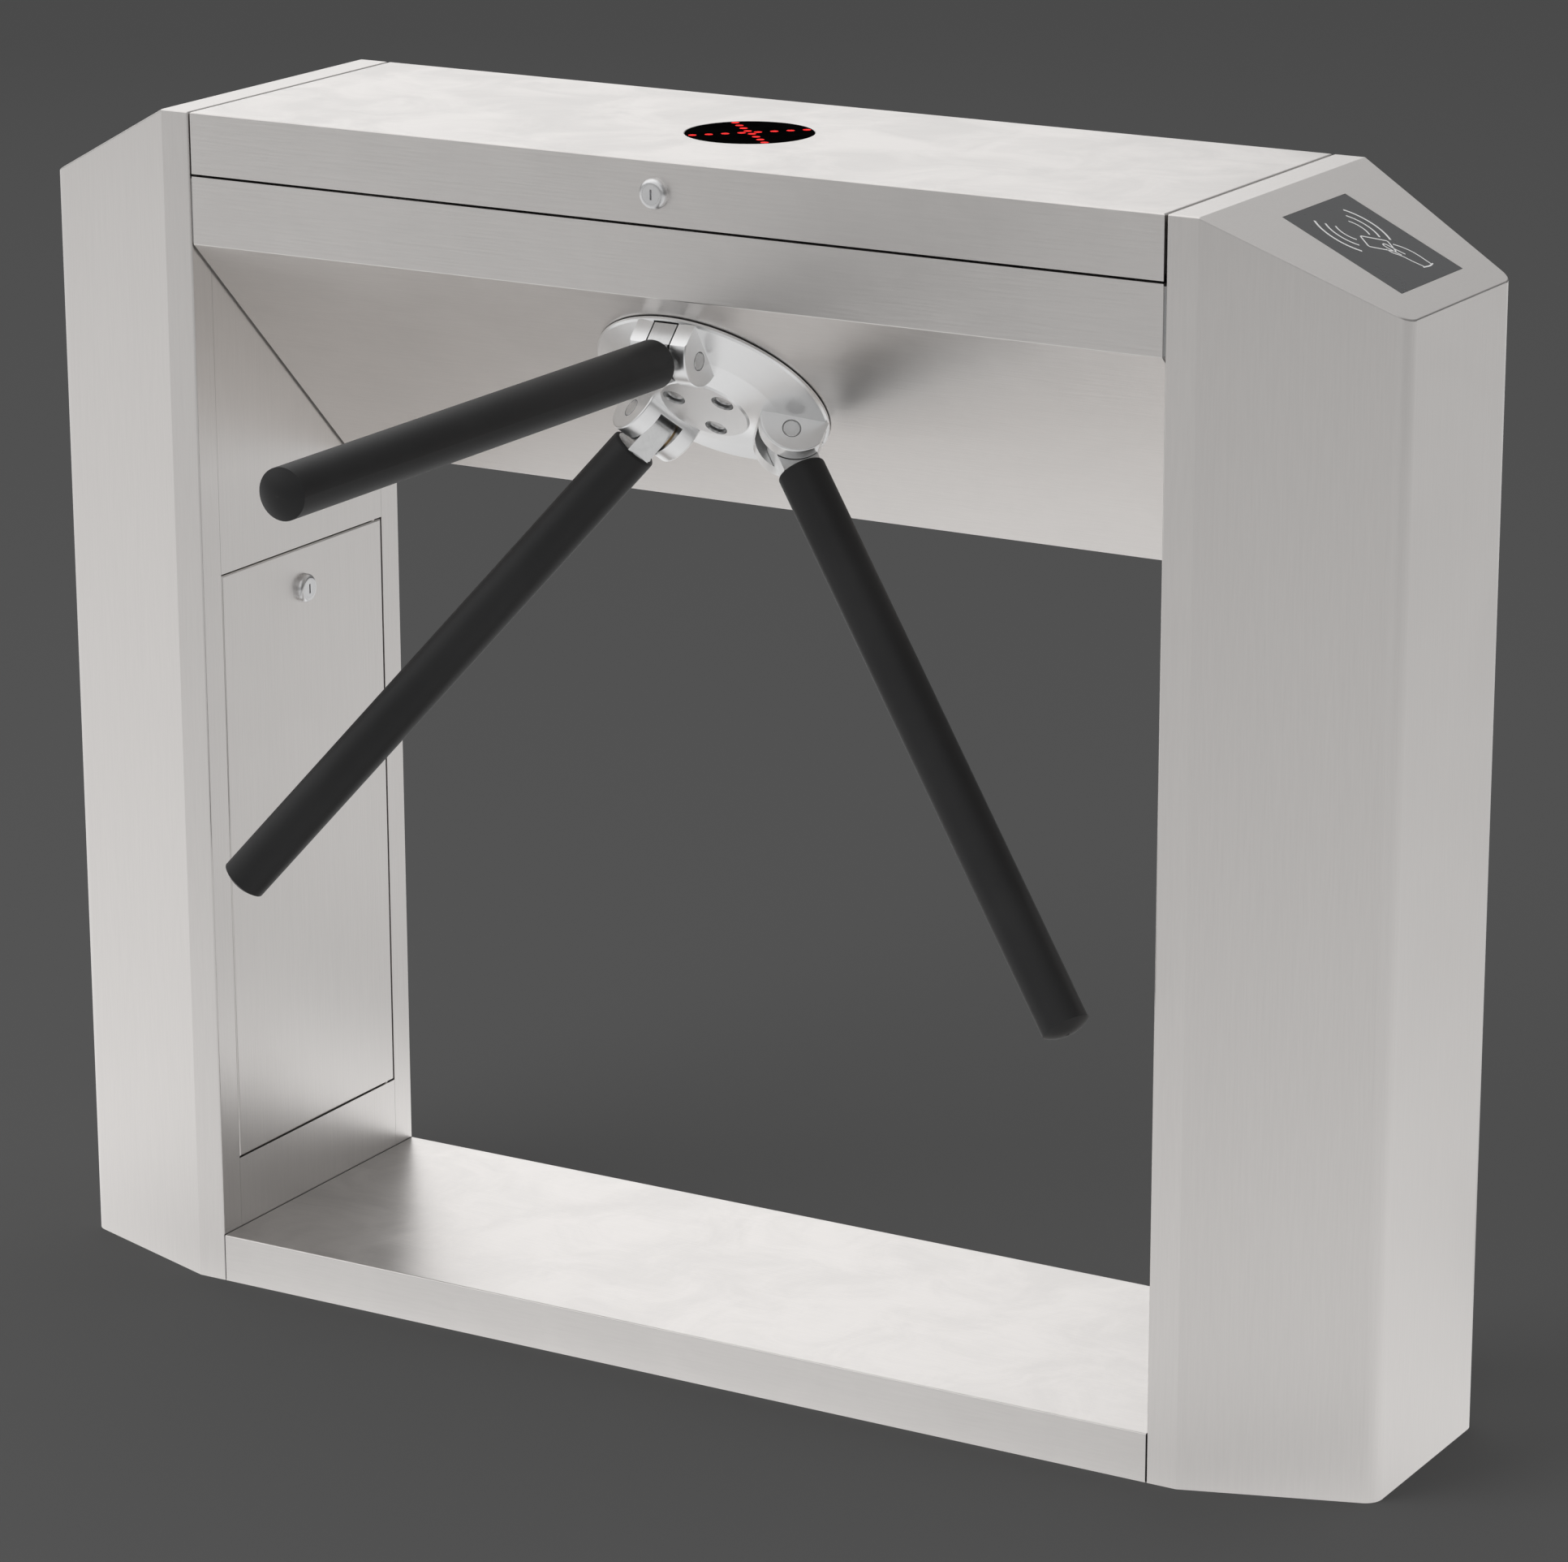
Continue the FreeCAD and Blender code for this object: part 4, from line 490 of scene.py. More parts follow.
def smoked(name, dark, pale, roughness, specular):
    """Smoked sheet, from dark to pale and a little rougher where the haze is thick."""
    finish, tree, shader, place = new_finish(name)
    haze = use_group(tree, cloud_group, Place=place, Size=HAZE_CLOUD)["Cloud"]
    tree.links.new(between(tree, haze, dark, pale), shader.inputs["Base Color"])
    tree.links.new(centred(tree, haze, HAZE_ROUGHNESS, roughness), shader.inputs["Roughness"])
    shader.inputs["Specular IOR Level"].default_value = specular
    return finish


def lamp_red():
    """A red lens that gives light, with a fine speckle."""
    finish, tree, shader, place = new_finish("lamp_red")
    speckle = noise(tree, place, SPECKLE_SIZE, detail=2.0)
    colour = between(tree, speckle, (0.60, 0.002, 0.002), (0.88, 0.008, 0.006))
    tree.links.new(colour, shader.inputs["Base Color"])
    tree.links.new(colour, shader.inputs["Emission Color"])
    shader.inputs["Emission Strength"].default_value = LAMP_STRENGTH
    shader.inputs["Roughness"].default_value = 0.45
    shader.inputs["Specular IOR Level"].default_value = 0.02
    return finish


# %% [markdown]
# A circuit board is a green lacquer over copper tracks. The tracks are thin lines at right angles, broken
# where a coarse noise says so, and a little paler than the lacquer around them.

# %% Circuit board
TRACK_PITCH = 0.0042
TRACK_SHARE = 0.30
TRACK_AREAS = {"X": (240.0, 90.0, 14.0), "Z": (14.0, 90.0, 240.0)}  # stretch of the noise for each way
TRACK_LEAST = 0.53  # the noise above which tracks show
TRACK_DEPTH = 0.00004


def board_green(name, chip_face=None):
    """Lacquered board. What lies in front of chip_face, along Y in metres, is black chip casing."""
    finish, tree, shader, place = new_finish(name)
    split = add_node(tree, "ShaderNodeSeparateXYZ", {0: place}).outputs
    masks = []
    for axis, stretch in TRACK_AREAS.items():
        steps = calculate(tree, "DIVIDE", split[axis], TRACK_PITCH)
        line = calculate(tree, "LESS_THAN", calculate(tree, "FRACT", steps), TRACK_SHARE)
        patch = noise(tree, combine(tree, "MULTIPLY", place, stretch), detail=0.0)
        area = calculate(tree, "GREATER_THAN", patch, TRACK_LEAST)
        masks.append(calculate(tree, "MULTIPLY", line, area))
    tracks = calculate(tree, "MAXIMUM", *masks)
    colour = between(tree, tracks, (0.010, 0.090, 0.035), (0.035, 0.20, 0.075))
    if chip_face is not None:
        on_chip = calculate(tree, "LESS_THAN", split["Y"], chip_face)
        tracks = calculate(tree, "MULTIPLY", tracks, calculate(tree, "SUBTRACT", 1.0, on_chip))
        colour = between(tree, on_chip, colour, (0.014, 0.014, 0.015))
    tree.links.new(colour, shader.inputs["Base Color"])
    tree.links.new(centred(tree, tracks, -0.12, 0.40), shader.inputs["Roughness"])
    raise_surface(tree, shader, tracks, TRACK_DEPTH)
    return finish


# %% [markdown]
# The power supply sits in a folded case of zinc-plated sheet, pierced with rows of round vents. So many
# real holes would make a heavy solid for a part that is seen only with the lid up, and the vents are
# drawn instead: a disc of painted shade, as dark as the inside of a hole, in the middle of every square of a
# grid, on the case's front face only.

# %% Pierced supply case
VENT_PITCH = 0.0072
VENT_RADIUS = 0.0023
TERMINAL_MARGIN = 0.036  # unpierced border at the terminals, and at the other three edges
VENT_MARGIN = 0.012
FRONT_DEPTH = 0.001  # what lies this near to the foremost point is the front face
CASE_GRAIN = (40.0, 500.0, 500.0)


def pierced_case():
    """Plated sheet with vents: a place is in a vent if it is near the middle of its square of the grid."""
    finish, tree, shader, place = new_finish("supply_case")
    low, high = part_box("power_supply")
    split = add_node(tree, "ShaderNodeSeparateXYZ", {0: place}).outputs
    grain = use_group(tree, grain_group, Place=place, Stretch=CASE_GRAIN)["Grain"]
    squares, within = [], []
    for axis, start, end in (("X", low.x + TERMINAL_MARGIN, high.x - VENT_MARGIN),
                             ("Z", low.z + VENT_MARGIN, high.z - VENT_MARGIN)):
        steps = calculate(tree, "DIVIDE", calculate(tree, "SUBTRACT", split[axis], start), VENT_PITCH)
        squares.append(calculate(tree, "SUBTRACT", calculate(tree, "FRACT", steps), 0.5))
        count = float(int((end - start) / VENT_PITCH))
        from_middle = calculate(tree, "ABSOLUTE", calculate(tree, "SUBTRACT", steps, count / 2.0))
        within.append(calculate(tree, "LESS_THAN", from_middle, count / 2.0))
    across, above = squares
    away = calculate(tree, "MULTIPLY_ADD", across, across, calculate(tree, "MULTIPLY", above, above))
    disc = calculate(tree, "LESS_THAN", calculate(tree, "SQRT", away), VENT_RADIUS / VENT_PITCH)
    front = calculate(tree, "LESS_THAN", split["Y"], low.y + FRONT_DEPTH)
    inside = calculate(tree, "MULTIPLY", *within)
    # painted shade: each vent is a near-black disc that is not metallic, as dark as the inside of a hole
    vent = calculate(tree, "MULTIPLY", calculate(tree, "MULTIPLY", disc, inside), front)
    plated = between(tree, grain, (0.50, 0.51, 0.52), (0.64, 0.65, 0.65))
    tree.links.new(between(tree, vent, plated, (0.010, 0.010, 0.011)), shader.inputs["Base Color"])
    tree.links.new(calculate(tree, "SUBTRACT", 1.0, vent), shader.inputs["Metallic"])
    tree.links.new(centred(tree, vent, 0.4, 0.55), shader.inputs["Roughness"])
    raise_surface(tree, shader, calculate(tree, "SUBTRACT", grain, vent), 0.00003)
    return finish


# %% [markdown]
# Every solid names a material slot in its record. A table from slot to finish dresses them all in one
# loop. Only the sheets, the lamp window and the control board go by the piece's own name.

# %% Dress every solid
LEVEL_SHEETS = ("beam_body", "lid", "base_sill")
CHIP_DEPTH = 0.0075  # what lies this near to the control board's foremost point is chip casing

finishes = {
    "hub_alloy": hub_alloy(),
    "chrome_trim": metal(
        "chrome_trim", (0.78, 0.78, 0.79), (0.88, 0.88, 0.88), 0.30, EVEN_GRAIN, 0.05, 0.000004
    ),
    "arm_sleeve": moulded(
        "arm_sleeve", (0.0130, 0.0130, 0.0135), (0.0175, 0.0175, 0.0180), 0.50, 1500.0, 0.00003, 0.32
    ),
    "arm_steel": metal("arm_steel", (0.66, 0.66, 0.66), (0.80, 0.80, 0.80), 0.24, (700.0, 60.0, 60.0)),
    "zinc_steel": metal("zinc_steel", (0.46, 0.48, 0.51), (0.62, 0.62, 0.60), 0.42, (90.0, 90.0, 90.0)),
    "machined_steel": metal("machined_steel", (0.36, 0.36, 0.37), (0.52, 0.52, 0.52), 0.30, EVEN_GRAIN),
    "bearing_bronze": metal("bearing_bronze", (0.46, 0.29, 0.11), (0.60, 0.40, 0.18), 0.35, EVEN_GRAIN),
    "dark_window": smoked("dark_window", (0.055, 0.057, 0.060), (0.068, 0.070, 0.072), 0.30, 0.3),
    "lamp_lens": lamp_red(),
    "circuit_board": board_green("board_green"),
    "module_case": moulded(
        "module_case", (0.022, 0.022, 0.024), (0.032, 0.032, 0.034), 0.55, 1100.0, 0.00005
    ),
    "supply_case": pierced_case(),
    "can_sleeve": metal("can_sleeve", (0.50, 0.51, 0.52), (0.64, 0.65, 0.65), 0.32, EVEN_GRAIN),
    "motor_paint": moulded(
        "motor_paint", (0.020, 0.021, 0.023), (0.034, 0.035, 0.037), 0.34, 420.0, 0.00006
    ),
}
chip_board = board_green("chip_board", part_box("control_board")[0].y + CHIP_DEPTH)
lamp_glass = smoked("lamp_glass", (0.0012, 0.0012, 0.0012), (0.0026, 0.0026, 0.0026), 0.45, 0.0)


def dress(piece, finish):
    """Give a solid one finish in place of what it came with."""
    piece.data.materials.clear()
    piece.data.materials.append(finish)


for part in frame["record"]["subparts"]:
    label = part["node"]
    if part["material_slot"] == "stainless_skin":
        finish = level_sheet if label in LEVEL_SHEETS else upright_sheet
    elif label == "led_window":
        finish = lamp_glass
    elif label == "control_board":
        finish = chip_board
    else:
        finish = finishes[part["material_slot"]]
    dress(nodes[label], finish)

# %% [markdown]
# The solids are dressed. What is left are the small things that sit on them. Each is a skin worked out as
# whole arrays: a closed profile is carried along a path, which gives a row of rings, and quads join every
# ring to the next. A straight path makes a block or a turned head, a curved one a printed line, a closed
# one a ring.

# %% Skins from rows of rings
SHARP_ANGLE = math.radians(35.0)  # steeper edges stay sharp in the shading


def loft(rings, loop=False):
    """Quads over a row of closed rings, given as an array of (ring, point, xyz).

    Point j of ring i is number i * n + j, where n is the count of points in a ring. The two end rings are
    filled, or in a loop the last ring is joined to the first.
    """
    count, around = rings.shape[:2]
    index = np.arange(count * around).reshape(count, around)
    if loop:
        here, there = index, np.roll(index, -1, axis=0)
        caps = []
    else:
        here, there = index[:-1], index[1:]
        caps = [index[:1, ::-1], index[-1:]]
    quads = np.stack([here, np.roll(here, -1, axis=1), np.roll(there, -1, axis=1), there], axis=-1)
    return rings.reshape(-1, 3), [quads.reshape(-1, 4), *caps]


def carry(outlines, heights, origin, axes):
    """Rings of a straight path: origin + x * side + y * up + height * along, one height for each ring."""
    side, up, along = np.asarray(axes, float)
    flat = outlines[..., :1] * side + outlines[..., 1:] * up
    return np.asarray(origin, float) + flat + np.asarray(heights, float)[:, None, None] * along


def add_piece(name, skins, finish, body):
    """One object from several skins: each skin's faces are counted on from the points before it."""
    starts = np.cumsum([0] + [len(points) for points, _ in skins[:-1]])
    faces = []
    for start, (_, parts) in zip(starts, skins):
        for numbers in parts:
            faces += (numbers + start).tolist()
    mesh = bpy.data.meshes.new(name)
    mesh.from_pydata(np.concatenate([points for points, _ in skins]).tolist(), [], faces)
    skin = bmesh.new()
    skin.from_mesh(mesh)
    bmesh.ops.recalc_face_normals(skin, faces=skin.faces)
    skin.to_mesh(mesh)
    skin.free()
    mesh.shade_smooth()
    mesh.set_sharp_from_angle(angle=SHARP_ANGLE)
    mesh.materials.append(finish)
    piece = bpy.data.objects.new(name, mesh)
    bpy.context.scene.collection.objects.link(piece)
    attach(piece, body)
    print(name, "skins", len(skins), "faces", len(faces))
    return piece


# %% [markdown]
# Relays, terminals and bars are blocks, while screws, rivets and cans are turned. The edges of a plain
# cube or cylinder catch no light. So a block's outline has round corners and shrinks at both ends, and a
# turned piece takes a radius for each height, which draws its rim, its groove or its dome.

# %% Blocks and turned heads
def rounded_outline(width, height, radius, steps=4):
    """Four corner arcs in turn: each corner's centre plus radius times (cos, sin) of a quarter turn."""
    angle = np.linspace(0.0, np.pi / 2.0, steps) + np.arange(4)[:, None] * np.pi / 2.0
    corner = np.array([[1, 1], [-1, 1], [-1, -1], [1, -1]]) * (np.array([width, height]) / 2.0 - radius)
    arcs = corner[:, None, :] + radius * np.stack([np.cos(angle), np.sin(angle)], axis=-1)
    return arcs.reshape(-1, 2)


def block(origin, axes, width, height, depth, edge):
    """A rounded rectangle carried straight out, smaller by the edge at both ends, which bevels the rims."""
    full = rounded_outline(width, height, 2.0 * edge)
    less = rounded_outline(width - 2.0 * edge, height - 2.0 * edge, edge)
    return loft(carry(np.stack([less, full, full, less]), [0.0, edge, depth - edge, depth], origin, axes))


def turned(origin, axes, radii, heights, around=14):
    """A circle carried straight out, with its own radius at each height: radius times (cos, sin)."""
    angle = np.linspace(0.0, 2.0 * np.pi, around, endpoint=False)
    circle = np.stack([np.cos(angle), np.sin(angle)], axis=-1)
    return loft(carry(np.asarray(radii)[:, None, None] * circle, heights, origin, axes))


# %% [markdown]
# Each card window carries a white printed sign: waves, and a hand that holds a card. Printing ink has
# almost no thickness, but a line that is a real, very thin body keeps its sharp edge from close by and in
# every export. Each line is a flat rectangle carried along a path in the window's plane.

# %% Card signs
INK_HEIGHT = 0.00015
INK_SINK = 0.00004
WAVE_CENTRE = (-0.0180, -0.0010)
WAVES = ((0.0325, 0.0019), (0.0232, 0.0016), (0.0145, 0.0014))  # radius, line width
WAVE_SPREAD = math.radians(41.0)
WAVE_STEPS = 28
CARD_CENTRE = (0.0025, 0.0040)
CARD_SIZE = (0.0250, 0.0150)
CARD_CORNER = 0.0018
CARD_TURN = math.radians(56.0)
PEN = 0.0013
FACE_NEAR = 0.0002  # points this near to the highest one lie on a window's face
LOOKS_UP = 0.5  # a face looks up if its normal's height is over this
HAND_LINES = (
    # paths in millimetres down the slope and across it, from the window's middle
    ((8.0, 19.0), (15.0, 24.5), (24.0, 27.5), (38.0, 27.0)),
    ((38.5, 29.5), (39.5, 22.0), (38.5, 13.0)),
    ((38.0, 15.0), (30.0, 11.5), (22.0, 9.0), (15.5, 4.5), (10.0, 3.5)),
    ((21.0, 15.5), (13.5, 13.0), (6.5, 11.5), (4.5, 9.0), (6.5, 7.0), (13.5, 8.0), (20.5, 10.0)),
)
ink_white = moulded("ink_white", (0.90, 0.90, 0.90), (0.96, 0.96, 0.96), 0.55, 2500.0, 0.00001, 0.2)


def smooth_path(knots, steps=6):
    """A smooth line through its knots: between two knots, a cubic along the chords of their neighbours."""
    knots = np.asarray(knots, float)
    before = np.vstack([2 * knots[:1] - knots[1:2], knots, 2 * knots[-1:] - knots[-2:-1]])
    p0, p1, p2, p3 = (before[k:len(before) - 3 + k, None, :] for k in range(4))
    t = np.linspace(0.0, 1.0, steps, endpoint=False)[None, :, None]
    curve = p1 + 0.5 * t * (p2 - p0 + t * (2 * p0 - 5 * p1 + 4 * p2 - p3 + t * (3 * (p1 - p2) + p3 - p0)))
    return np.vstack([curve.reshape(-1, 2), knots[-1:]])


def ink_line(path, width, origin, axes, loop=False):
    """A flat rectangle carried along a path in a plane, square to the path's direction at each point."""
    if loop:
        ahead = np.roll(path, -1, axis=0) - np.roll(path, 1, axis=0)
    else:
        ahead = np.gradient(path, axis=0)
    ahead /= np.linalg.norm(ahead, axis=1, keepdims=True)
    aside = np.stack([-ahead[:, 1], ahead[:, 0]], axis=1) * width / 2.0
    edges = np.stack([path - aside, path + aside, path + aside, path - aside], axis=1)
    side, up, out = axes
    lift = np.array([-INK_SINK, -INK_SINK, INK_HEIGHT, INK_HEIGHT])[None, :, None]
    return loft(origin + edges[..., :1] * side + edges[..., 1:] * up + lift * out, loop)


def solid_points(label):
    """A solid's points as an array of (point, xyz)."""
    mesh = nodes[label].data
    points = np.zeros(len(mesh.vertices) * 3)
    mesh.vertices.foreach_get("co", points)
    return points.reshape(-1, 3)


def window_plane(label):
    """Middle of a card window's face, and its axes: down the slope, across it, outwards."""
    points = solid_points(label)
    faces = nodes[label].data.polygons
    normals = np.zeros(len(faces) * 3)
    faces.foreach_get("normal", normals)
    normals = normals.reshape(-1, 3)
    areas = np.zeros(len(faces))
    faces.foreach_get("area", areas)
    out = normals[np.where(normals[:, 2] > LOOKS_UP, areas, 0.0).argmax()]
    across = np.array([0.0, np.sign(out[0]), 0.0])
    down = np.cross(across, out)
    face = points[points @ out > (points @ out).max() - FACE_NEAR]
    return (face.min(axis=0) + face.max(axis=0)) / 2.0, (down, across, out)


def card_sign(name, label):
    """Waves as arcs of radius times (sin, cos) on both sides, a turned card and the lines of a hand."""
    middle, axes = window_plane(label)
    angle = np.linspace(-WAVE_SPREAD, WAVE_SPREAD, WAVE_STEPS)
    skins = []
    for radius, width in WAVES:
        for way in (-1.0, 1.0):
            wave = np.stack([np.sin(angle), way * np.cos(angle)], axis=1) * radius + WAVE_CENTRE
            skins.append(ink_line(wave, width, middle, axes))
    cosine, sine = math.cos(CARD_TURN), math.sin(CARD_TURN)
    turn = np.array([[cosine, sine], [-sine, cosine]])
    card = rounded_outline(*CARD_SIZE, CARD_CORNER, steps=6) @ turn + CARD_CENTRE
    skins.append(ink_line(card, PEN, middle, axes, loop=True))
    skins += [ink_line(smooth_path(knots) / 1000.0, PEN, middle, axes) for knots in HAND_LINES]
    return add_piece(name, skins, ink_white, "cabinet")


for hand in ("left", "right"):
    card_sign(f"{hand}_card_sign", f"{hand}_reader_window")

# %% [markdown]
# Each arm turns on a steel pin that is pressed into the hub's cheeks. Around its ground end a hairline of
# painted shade stands for the dark gap of the joint. It is a ring: a small rectangle carried round a circle.

# %% Dark line round each hinge pin
PIN_RADIUS = 0.0070
PIN_LINE = 0.00035
PIN_PROUD = 0.00003
CHEEK_REACH = 0.025  # from the middle of a hinge to the outside of the hub's cheek
# painted shade: a near-black skin for the dark of narrow gaps, round the pins and in the sill's joints
painted_joint_shade = moulded(
    "painted_joint_shade", (0.010, 0.010, 0.010), (0.024, 0.023, 0.022), 0.6, 3000.0, 0.00001, 0.2
)


def square_axes(along):
    """Three unit axes at right angles, the last of them the given direction."""
    along = np.asarray(along, float) / np.linalg.norm(along)
    side = np.cross(along, np.eye(3)[np.abs(along).argmin()])
    side /= np.linalg.norm(side)
    return np.stack([side, np.cross(along, side), along])


def flat_ring(origin, axes, inner, outer, low, high, around=40):
    """A rectangle carried round a circle: either radius times (cos, sin), at either height on the axis."""
    side, up, along = axes
    angle = np.linspace(0.0, 2.0 * np.pi, around, endpoint=False)[:, None, None]
    spoke = np.cos(angle) * side + np.sin(angle) * up
    radii = np.array([inner, outer, outer, inner])[None, :, None]
    lift = np.array([low, low, high, high])[None, :, None]
    return loft(np.asarray(origin) + radii * spoke + lift * along, loop=True)


rings = []
for joint in frame["joints"]:
    if joint["name"].startswith("arm_"):
        axis = np.array(joint["axis"], float)
        for way in (1.0, -1.0):
            place = np.array(joint["pos_m"], float) + way * CHEEK_REACH * axis
            reach = (PIN_RADIUS, PIN_RADIUS + PIN_LINE, -PIN_PROUD, PIN_PROUD)
            rings.append(flat_ring(place, square_axes(way * axis), *reach))
add_piece("pin_lines", rings, painted_joint_shade, "tripod")

# %% [markdown]
# The sill slides in between the two pedestals. A narrow joint stays open at each end, and its shade reads
# as a dark line on top, in front and at the back. Painting that shade on the steel would need the joint's
# place in the steel's own material, so thin bars of painted shade lie in the joint instead, a little below
# its edges.

# %% Painted shade in the joints at the ends of the sill
JOINT_DEPTH = 0.0012
JOINT_SINK = 0.0002
JOINT_EDGE = 0.00008
FOOT_CLEARANCE = 0.0005
LEVEL_BAR = np.array([[1.0, 0.0, 0.0], [0.0, 0.0, -1.0], [0.0, 1.0, 0.0]])  # side, up and along
UPRIGHT_BAR = np.eye(3)
sill_low, sill_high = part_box("base_sill")
rim = JOINT_SINK + JOINT_DEPTH
bars = []
for panel, sill_end in (("left_inner_panel", sill_low.x), ("right_inner_panel", sill_high.x)):
    panel_low, panel_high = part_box(panel)
    panel_face = panel_high.x if sill_end < 0.0 else panel_low.x
    middle, gap = (panel_face + sill_end) / 2.0, abs(panel_face - sill_end)
    place = (middle, sill_low.y + rim, sill_high.z - rim + JOINT_DEPTH / 2.0)
    bars.append(block(place, LEVEL_BAR, gap, JOINT_DEPTH, sill_high.y - sill_low.y - 2.0 * rim, JOINT_EDGE))
    for along in (sill_low.y + rim - JOINT_DEPTH / 2.0, sill_high.y - rim + JOINT_DEPTH / 2.0):
        place = (middle, along, sill_low.z + FOOT_CLEARANCE)
        height = sill_high.z - sill_low.z - FOOT_CLEARANCE - JOINT_SINK
        bars.append(block(place, UPRIGHT_BAR, gap, JOINT_DEPTH, height, JOINT_EDGE))
# the bars are painted shade: near black, where the joint has only shade
add_piece("sill_joints", bars, painted_joint_shade, "cabinet")

# %% [markdown]
# With the lid up, the control board shows. Screw terminals stand along its lower edge, relays and
# capacitors along its upper edge, and a pin header over the chips. All are blocks and turned cans on the
# board's front face.

# %% Screw terminals of the control board
board_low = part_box("control_board")[0]
CHIP_RISE = 0.008  # from the lacquered face to the front of the chips
BOARD_FACE = board_low.y + CHIP_RISE
BOARD_AXES = np.array([[1.0, 0.0, 0.0], [0.0, 0.0, 1.0], [0.0, -1.0, 0.0]])  # side, up, outwards
TERMINALS_ACROSS = (0.036, 0.090, 0.144)
TERMINAL_ABOVE = 0.011
TERMINAL_POLES = 6
TERMINAL_PITCH = 0.00508
TERMINAL_SIZE = (TERMINAL_POLES * TERMINAL_PITCH, 0.0100, 0.0100)
TERMINAL_EDGE = 0.0005
SCREW_ABOVE = 0.0125
SCREW_RADII = np.array([0.0019, 0.0019, 0.0016, 0.0010, 0.0009])
SCREW_RISE = np.array([0.0, 0.0005, 0.0008, 0.0008, 0.0003])


def on_board(across, above, out=0.0):
    """A place on the board's face, from its left lower corner."""
    return (board_low.x + across, BOARD_FACE - out, board_low.z + above)


terminals, screws = [], []
pole = np.arange(TERMINAL_POLES) - (TERMINAL_POLES - 1) / 2.0
for across in TERMINALS_ACROSS:
    terminals.append(block(on_board(across, TERMINAL_ABOVE), BOARD_AXES, *TERMINAL_SIZE, TERMINAL_EDGE))
    for shift in pole * TERMINAL_PITCH:
        place = on_board(across + shift, SCREW_ABOVE, TERMINAL_SIZE[2])
        screws.append(turned(place, BOARD_AXES, SCREW_RADII, SCREW_RISE, around=10))
add_piece("board_terminals", terminals, finishes["module_case"], "cabinet")

# %% [markdown]
# A relay is a plain moulded case. A capacitor is an aluminium can with a crimped groove near its foot, so
# its radius is listed height by height.

# %% Relays and capacitors
UPPER_ROW = 0.106
RELAYS_ACROSS = (0.020, 0.044, 0.068)
RELAY_SIZE = (0.0190, 0.0155, 0.0145)
RELAY_EDGE = 0.0008
CANS_ACROSS = (0.104, 0.120, 0.136, 0.152)
CAN_RADII = (0.0044, 0.0050, 0.0050, 0.0046, 0.0046, 0.0050, 0.0050, 0.0042)
CAN_RISE = (0.0, 0.0004, 0.0018, 0.0022, 0.0026, 0.0030, 0.0122, 0.0130)

relays, cans = [], []
for across in RELAYS_ACROSS:
    relays.append(block(on_board(across, UPPER_ROW), BOARD_AXES, *RELAY_SIZE, RELAY_EDGE))
for across in CANS_ACROSS:
    cans.append(turned(on_board(across, UPPER_ROW), BOARD_AXES, CAN_RADII, CAN_RISE, around=24))
add_piece("board_relays", relays, finishes["motor_paint"], "cabinet")
add_piece("board_capacitors", cans, finishes["can_sleeve"], "cabinet")

# %% [markdown]
# The header is a low black strip with two rows of square pins. Each pin starts inside the strip, so that
# no gap shows round its foot.

# %% Pin header
HEADER_ACROSS = 0.090
HEADER_ABOVE = 0.086
HEADER_SIZE = (0.0270, 0.0052, 0.0025)
HEADER_EDGE = 0.0003
HEADER_COLUMNS = 10
HEADER_PITCH = 0.00254
HEADER_PIN = (0.00064, 0.00064, 0.0062)
HEADER_PIN_EDGE = 0.00008
HEADER_PIN_FOOT = 0.0020

header = [block(on_board(HEADER_ACROSS, HEADER_ABOVE), BOARD_AXES, *HEADER_SIZE, HEADER_EDGE)]
add_piece("board_header", header, finishes["module_case"], "cabinet")
pins = []
for column in np.arange(HEADER_COLUMNS) - (HEADER_COLUMNS - 1) / 2.0:
    for row in (-0.5, 0.5):
        across, above = HEADER_ACROSS + column * HEADER_PITCH, HEADER_ABOVE + row * HEADER_PITCH
        place = on_board(across, above, HEADER_PIN_FOOT)
        pins.append(block(place, BOARD_AXES, *HEADER_PIN, HEADER_PIN_EDGE))
add_piece("board_header_pins", pins, finishes["bearing_bronze"], "cabinet")

# %% [markdown]
# The power supply has its own row of screw terminals at one end: a strip, and a low barrier on each side
# of every screw. Its screws are those of the board, only larger, and join them in one piece.

# %% Terminals of the power supply
supply_low, supply_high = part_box("power_supply")
SUPPLY_POLES = 7
SUPPLY_PITCH = 0.0095
STRIP_INSET = 0.016
STRIP_WIDTH = 0.0180
STRIP_RISE = 0.0060
STRIP_EDGE = 0.0006
STRIP_SPARE = 0.004
BARRIER_SINK = 0.0005
BARRIER_SIZE = (STRIP_WIDTH, 0.0014, 0.0060)
BARRIER_EDGE = 0.0003
SCREW_SCALE = 1.7
strip_across = supply_low.x + STRIP_INSET
strip_above = (supply_low.z + supply_high.z) / 2.0
strip_face = supply_low.y - STRIP_RISE
strip_length = SUPPLY_POLES * SUPPLY_PITCH + STRIP_SPARE

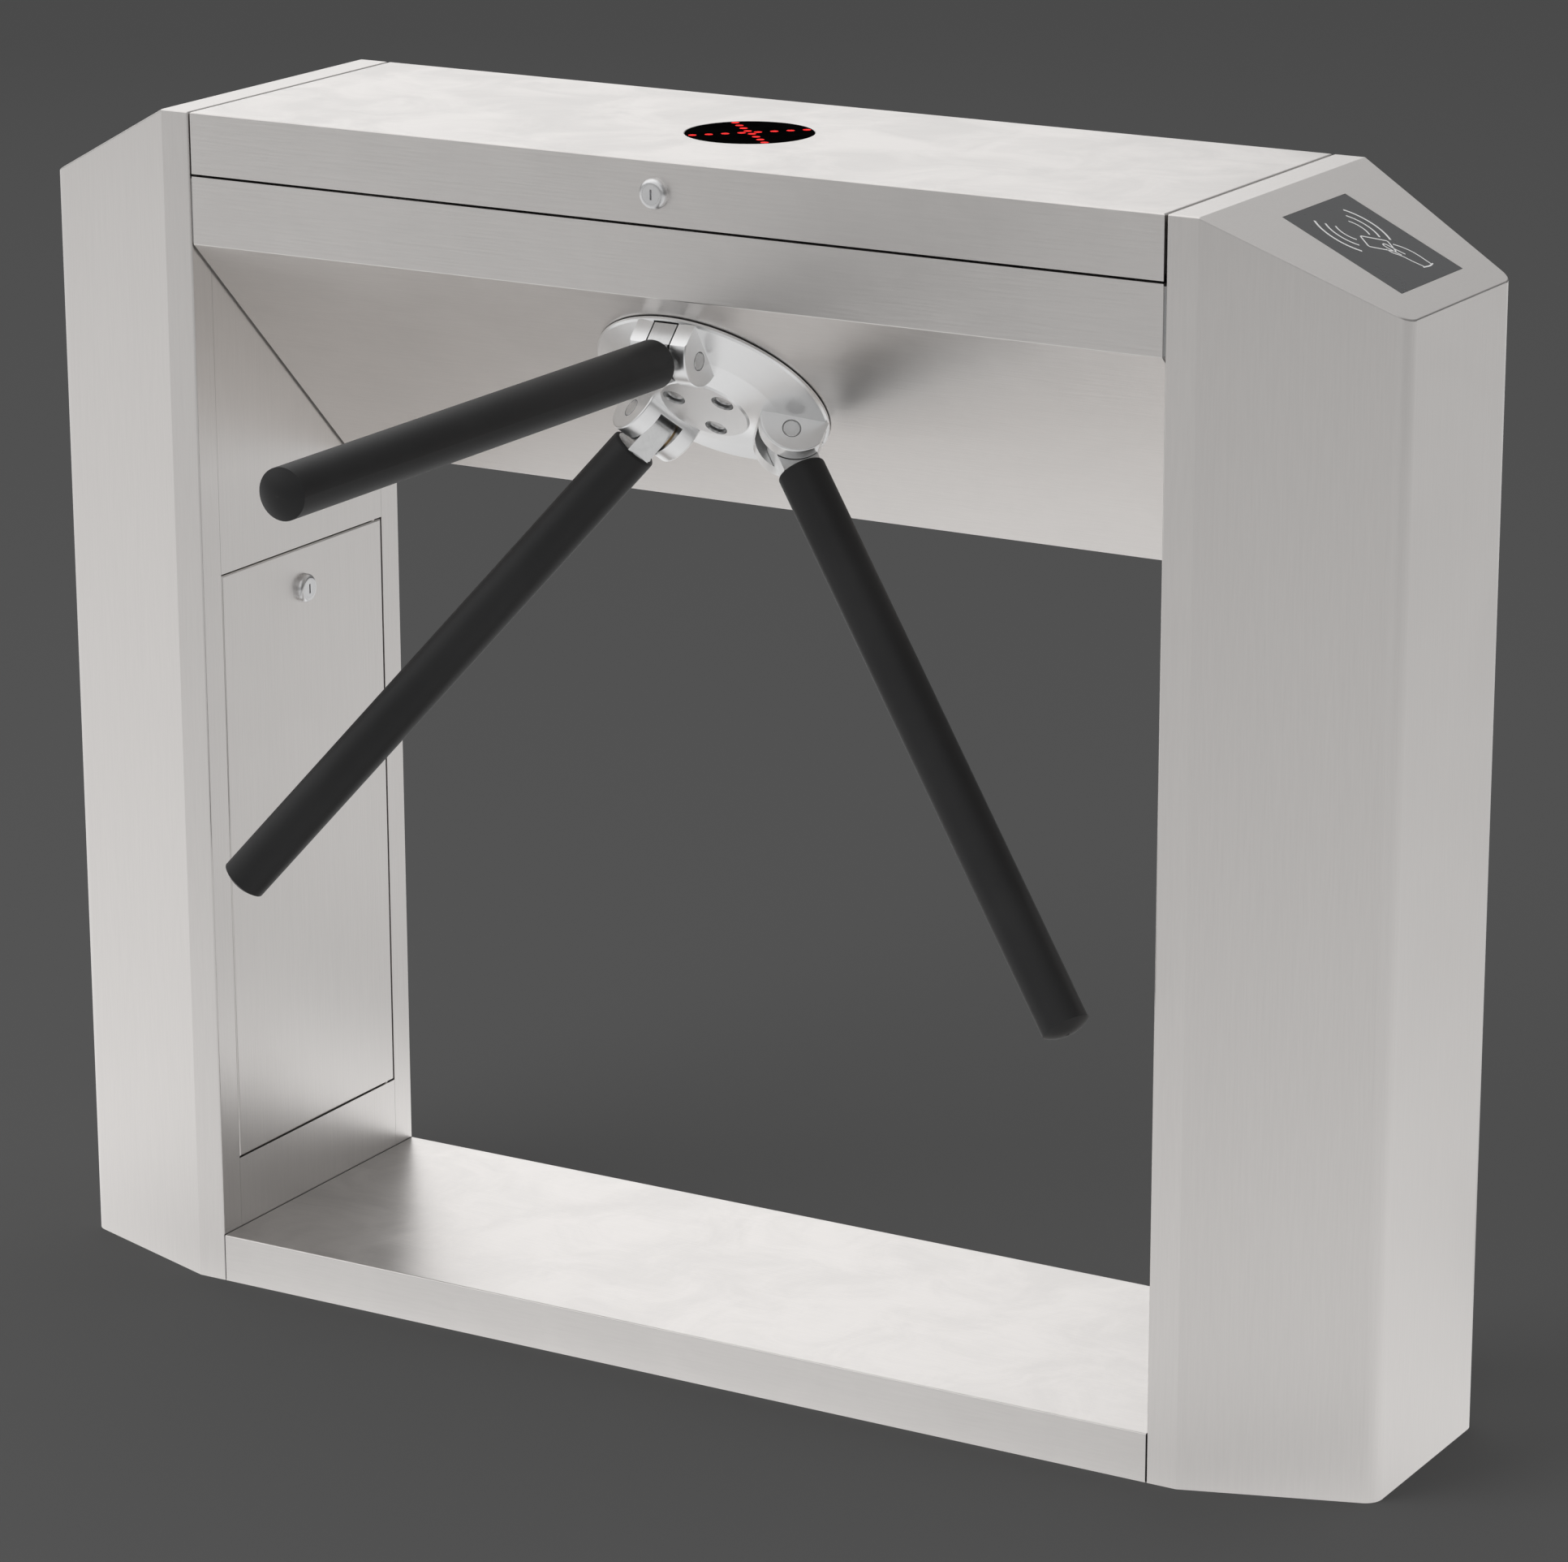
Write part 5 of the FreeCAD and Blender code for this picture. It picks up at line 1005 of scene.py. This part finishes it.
place = (strip_across, supply_low.y, strip_above)
strip = [block(place, BOARD_AXES, STRIP_WIDTH, strip_length, STRIP_RISE, STRIP_EDGE)]
for step in np.arange(SUPPLY_POLES + 1) - SUPPLY_POLES / 2.0:
    place = (strip_across, strip_face + BARRIER_SINK, strip_above + step * SUPPLY_PITCH)
    strip.append(block(place, BOARD_AXES, *BARRIER_SIZE, BARRIER_EDGE))
add_piece("supply_terminals", strip, finishes["module_case"], "cabinet")
for step in np.arange(SUPPLY_POLES) - (SUPPLY_POLES - 1) / 2.0:
    place = (strip_across, strip_face, strip_above + step * SUPPLY_PITCH)
    radii, rise = SCREW_RADII * SCREW_SCALE, SCREW_RISE * SCREW_SCALE
    screws.append(turned(place, BOARD_AXES, radii, rise, around=12))
add_piece("terminal_screws", screws, finishes["zinc_steel"], "cabinet")

# %% [markdown]
# The long hinge of the lid is riveted to the two sheets that it joins. The rivets' domed heads lie on the
# inside of both leaves, where they show when the lid is open.

# %% Rivets of the lid hinge
RIVET_COUNT = 12
RIVET_RADIUS = 0.0028
RIVET_RISE = 0.0012
RIVET_INSET = 0.006  # from a leaf's free edge
LEAF_BAND = 0.0065  # points this near to the row's height give the leaf's face
DOME_TURN = np.linspace(0.0, 0.47 * np.pi, 5)


def rivet_row(name, label, above, body):
    """Domed heads in a row: radius times the cosine and rise times the sine of an angle that grows."""
    low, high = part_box(label)
    points = solid_points(label)
    face = points[np.abs(points[:, 2] - above) < LEAF_BAND, 1].min()
    row = np.linspace(low.x, high.x, RIVET_COUNT + 1)[:-1] + (high.x - low.x) / RIVET_COUNT / 2.0
    radii, rise = RIVET_RADIUS * np.cos(DOME_TURN), RIVET_RISE * np.sin(DOME_TURN)
    heads = [turned((across, face, above), BOARD_AXES, radii, rise, around=12) for across in row]
    return add_piece(name, heads, finishes["zinc_steel"], body)


rivet_row("hinge_fixed_rivets", "lid_hinge_fixed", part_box("lid_hinge_fixed")[0].z + RIVET_INSET, "cabinet")
rivet_row("hinge_leaf_rivets", "lid_hinge_leaf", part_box("lid_hinge_leaf")[1].z - RIVET_INSET, "lid")
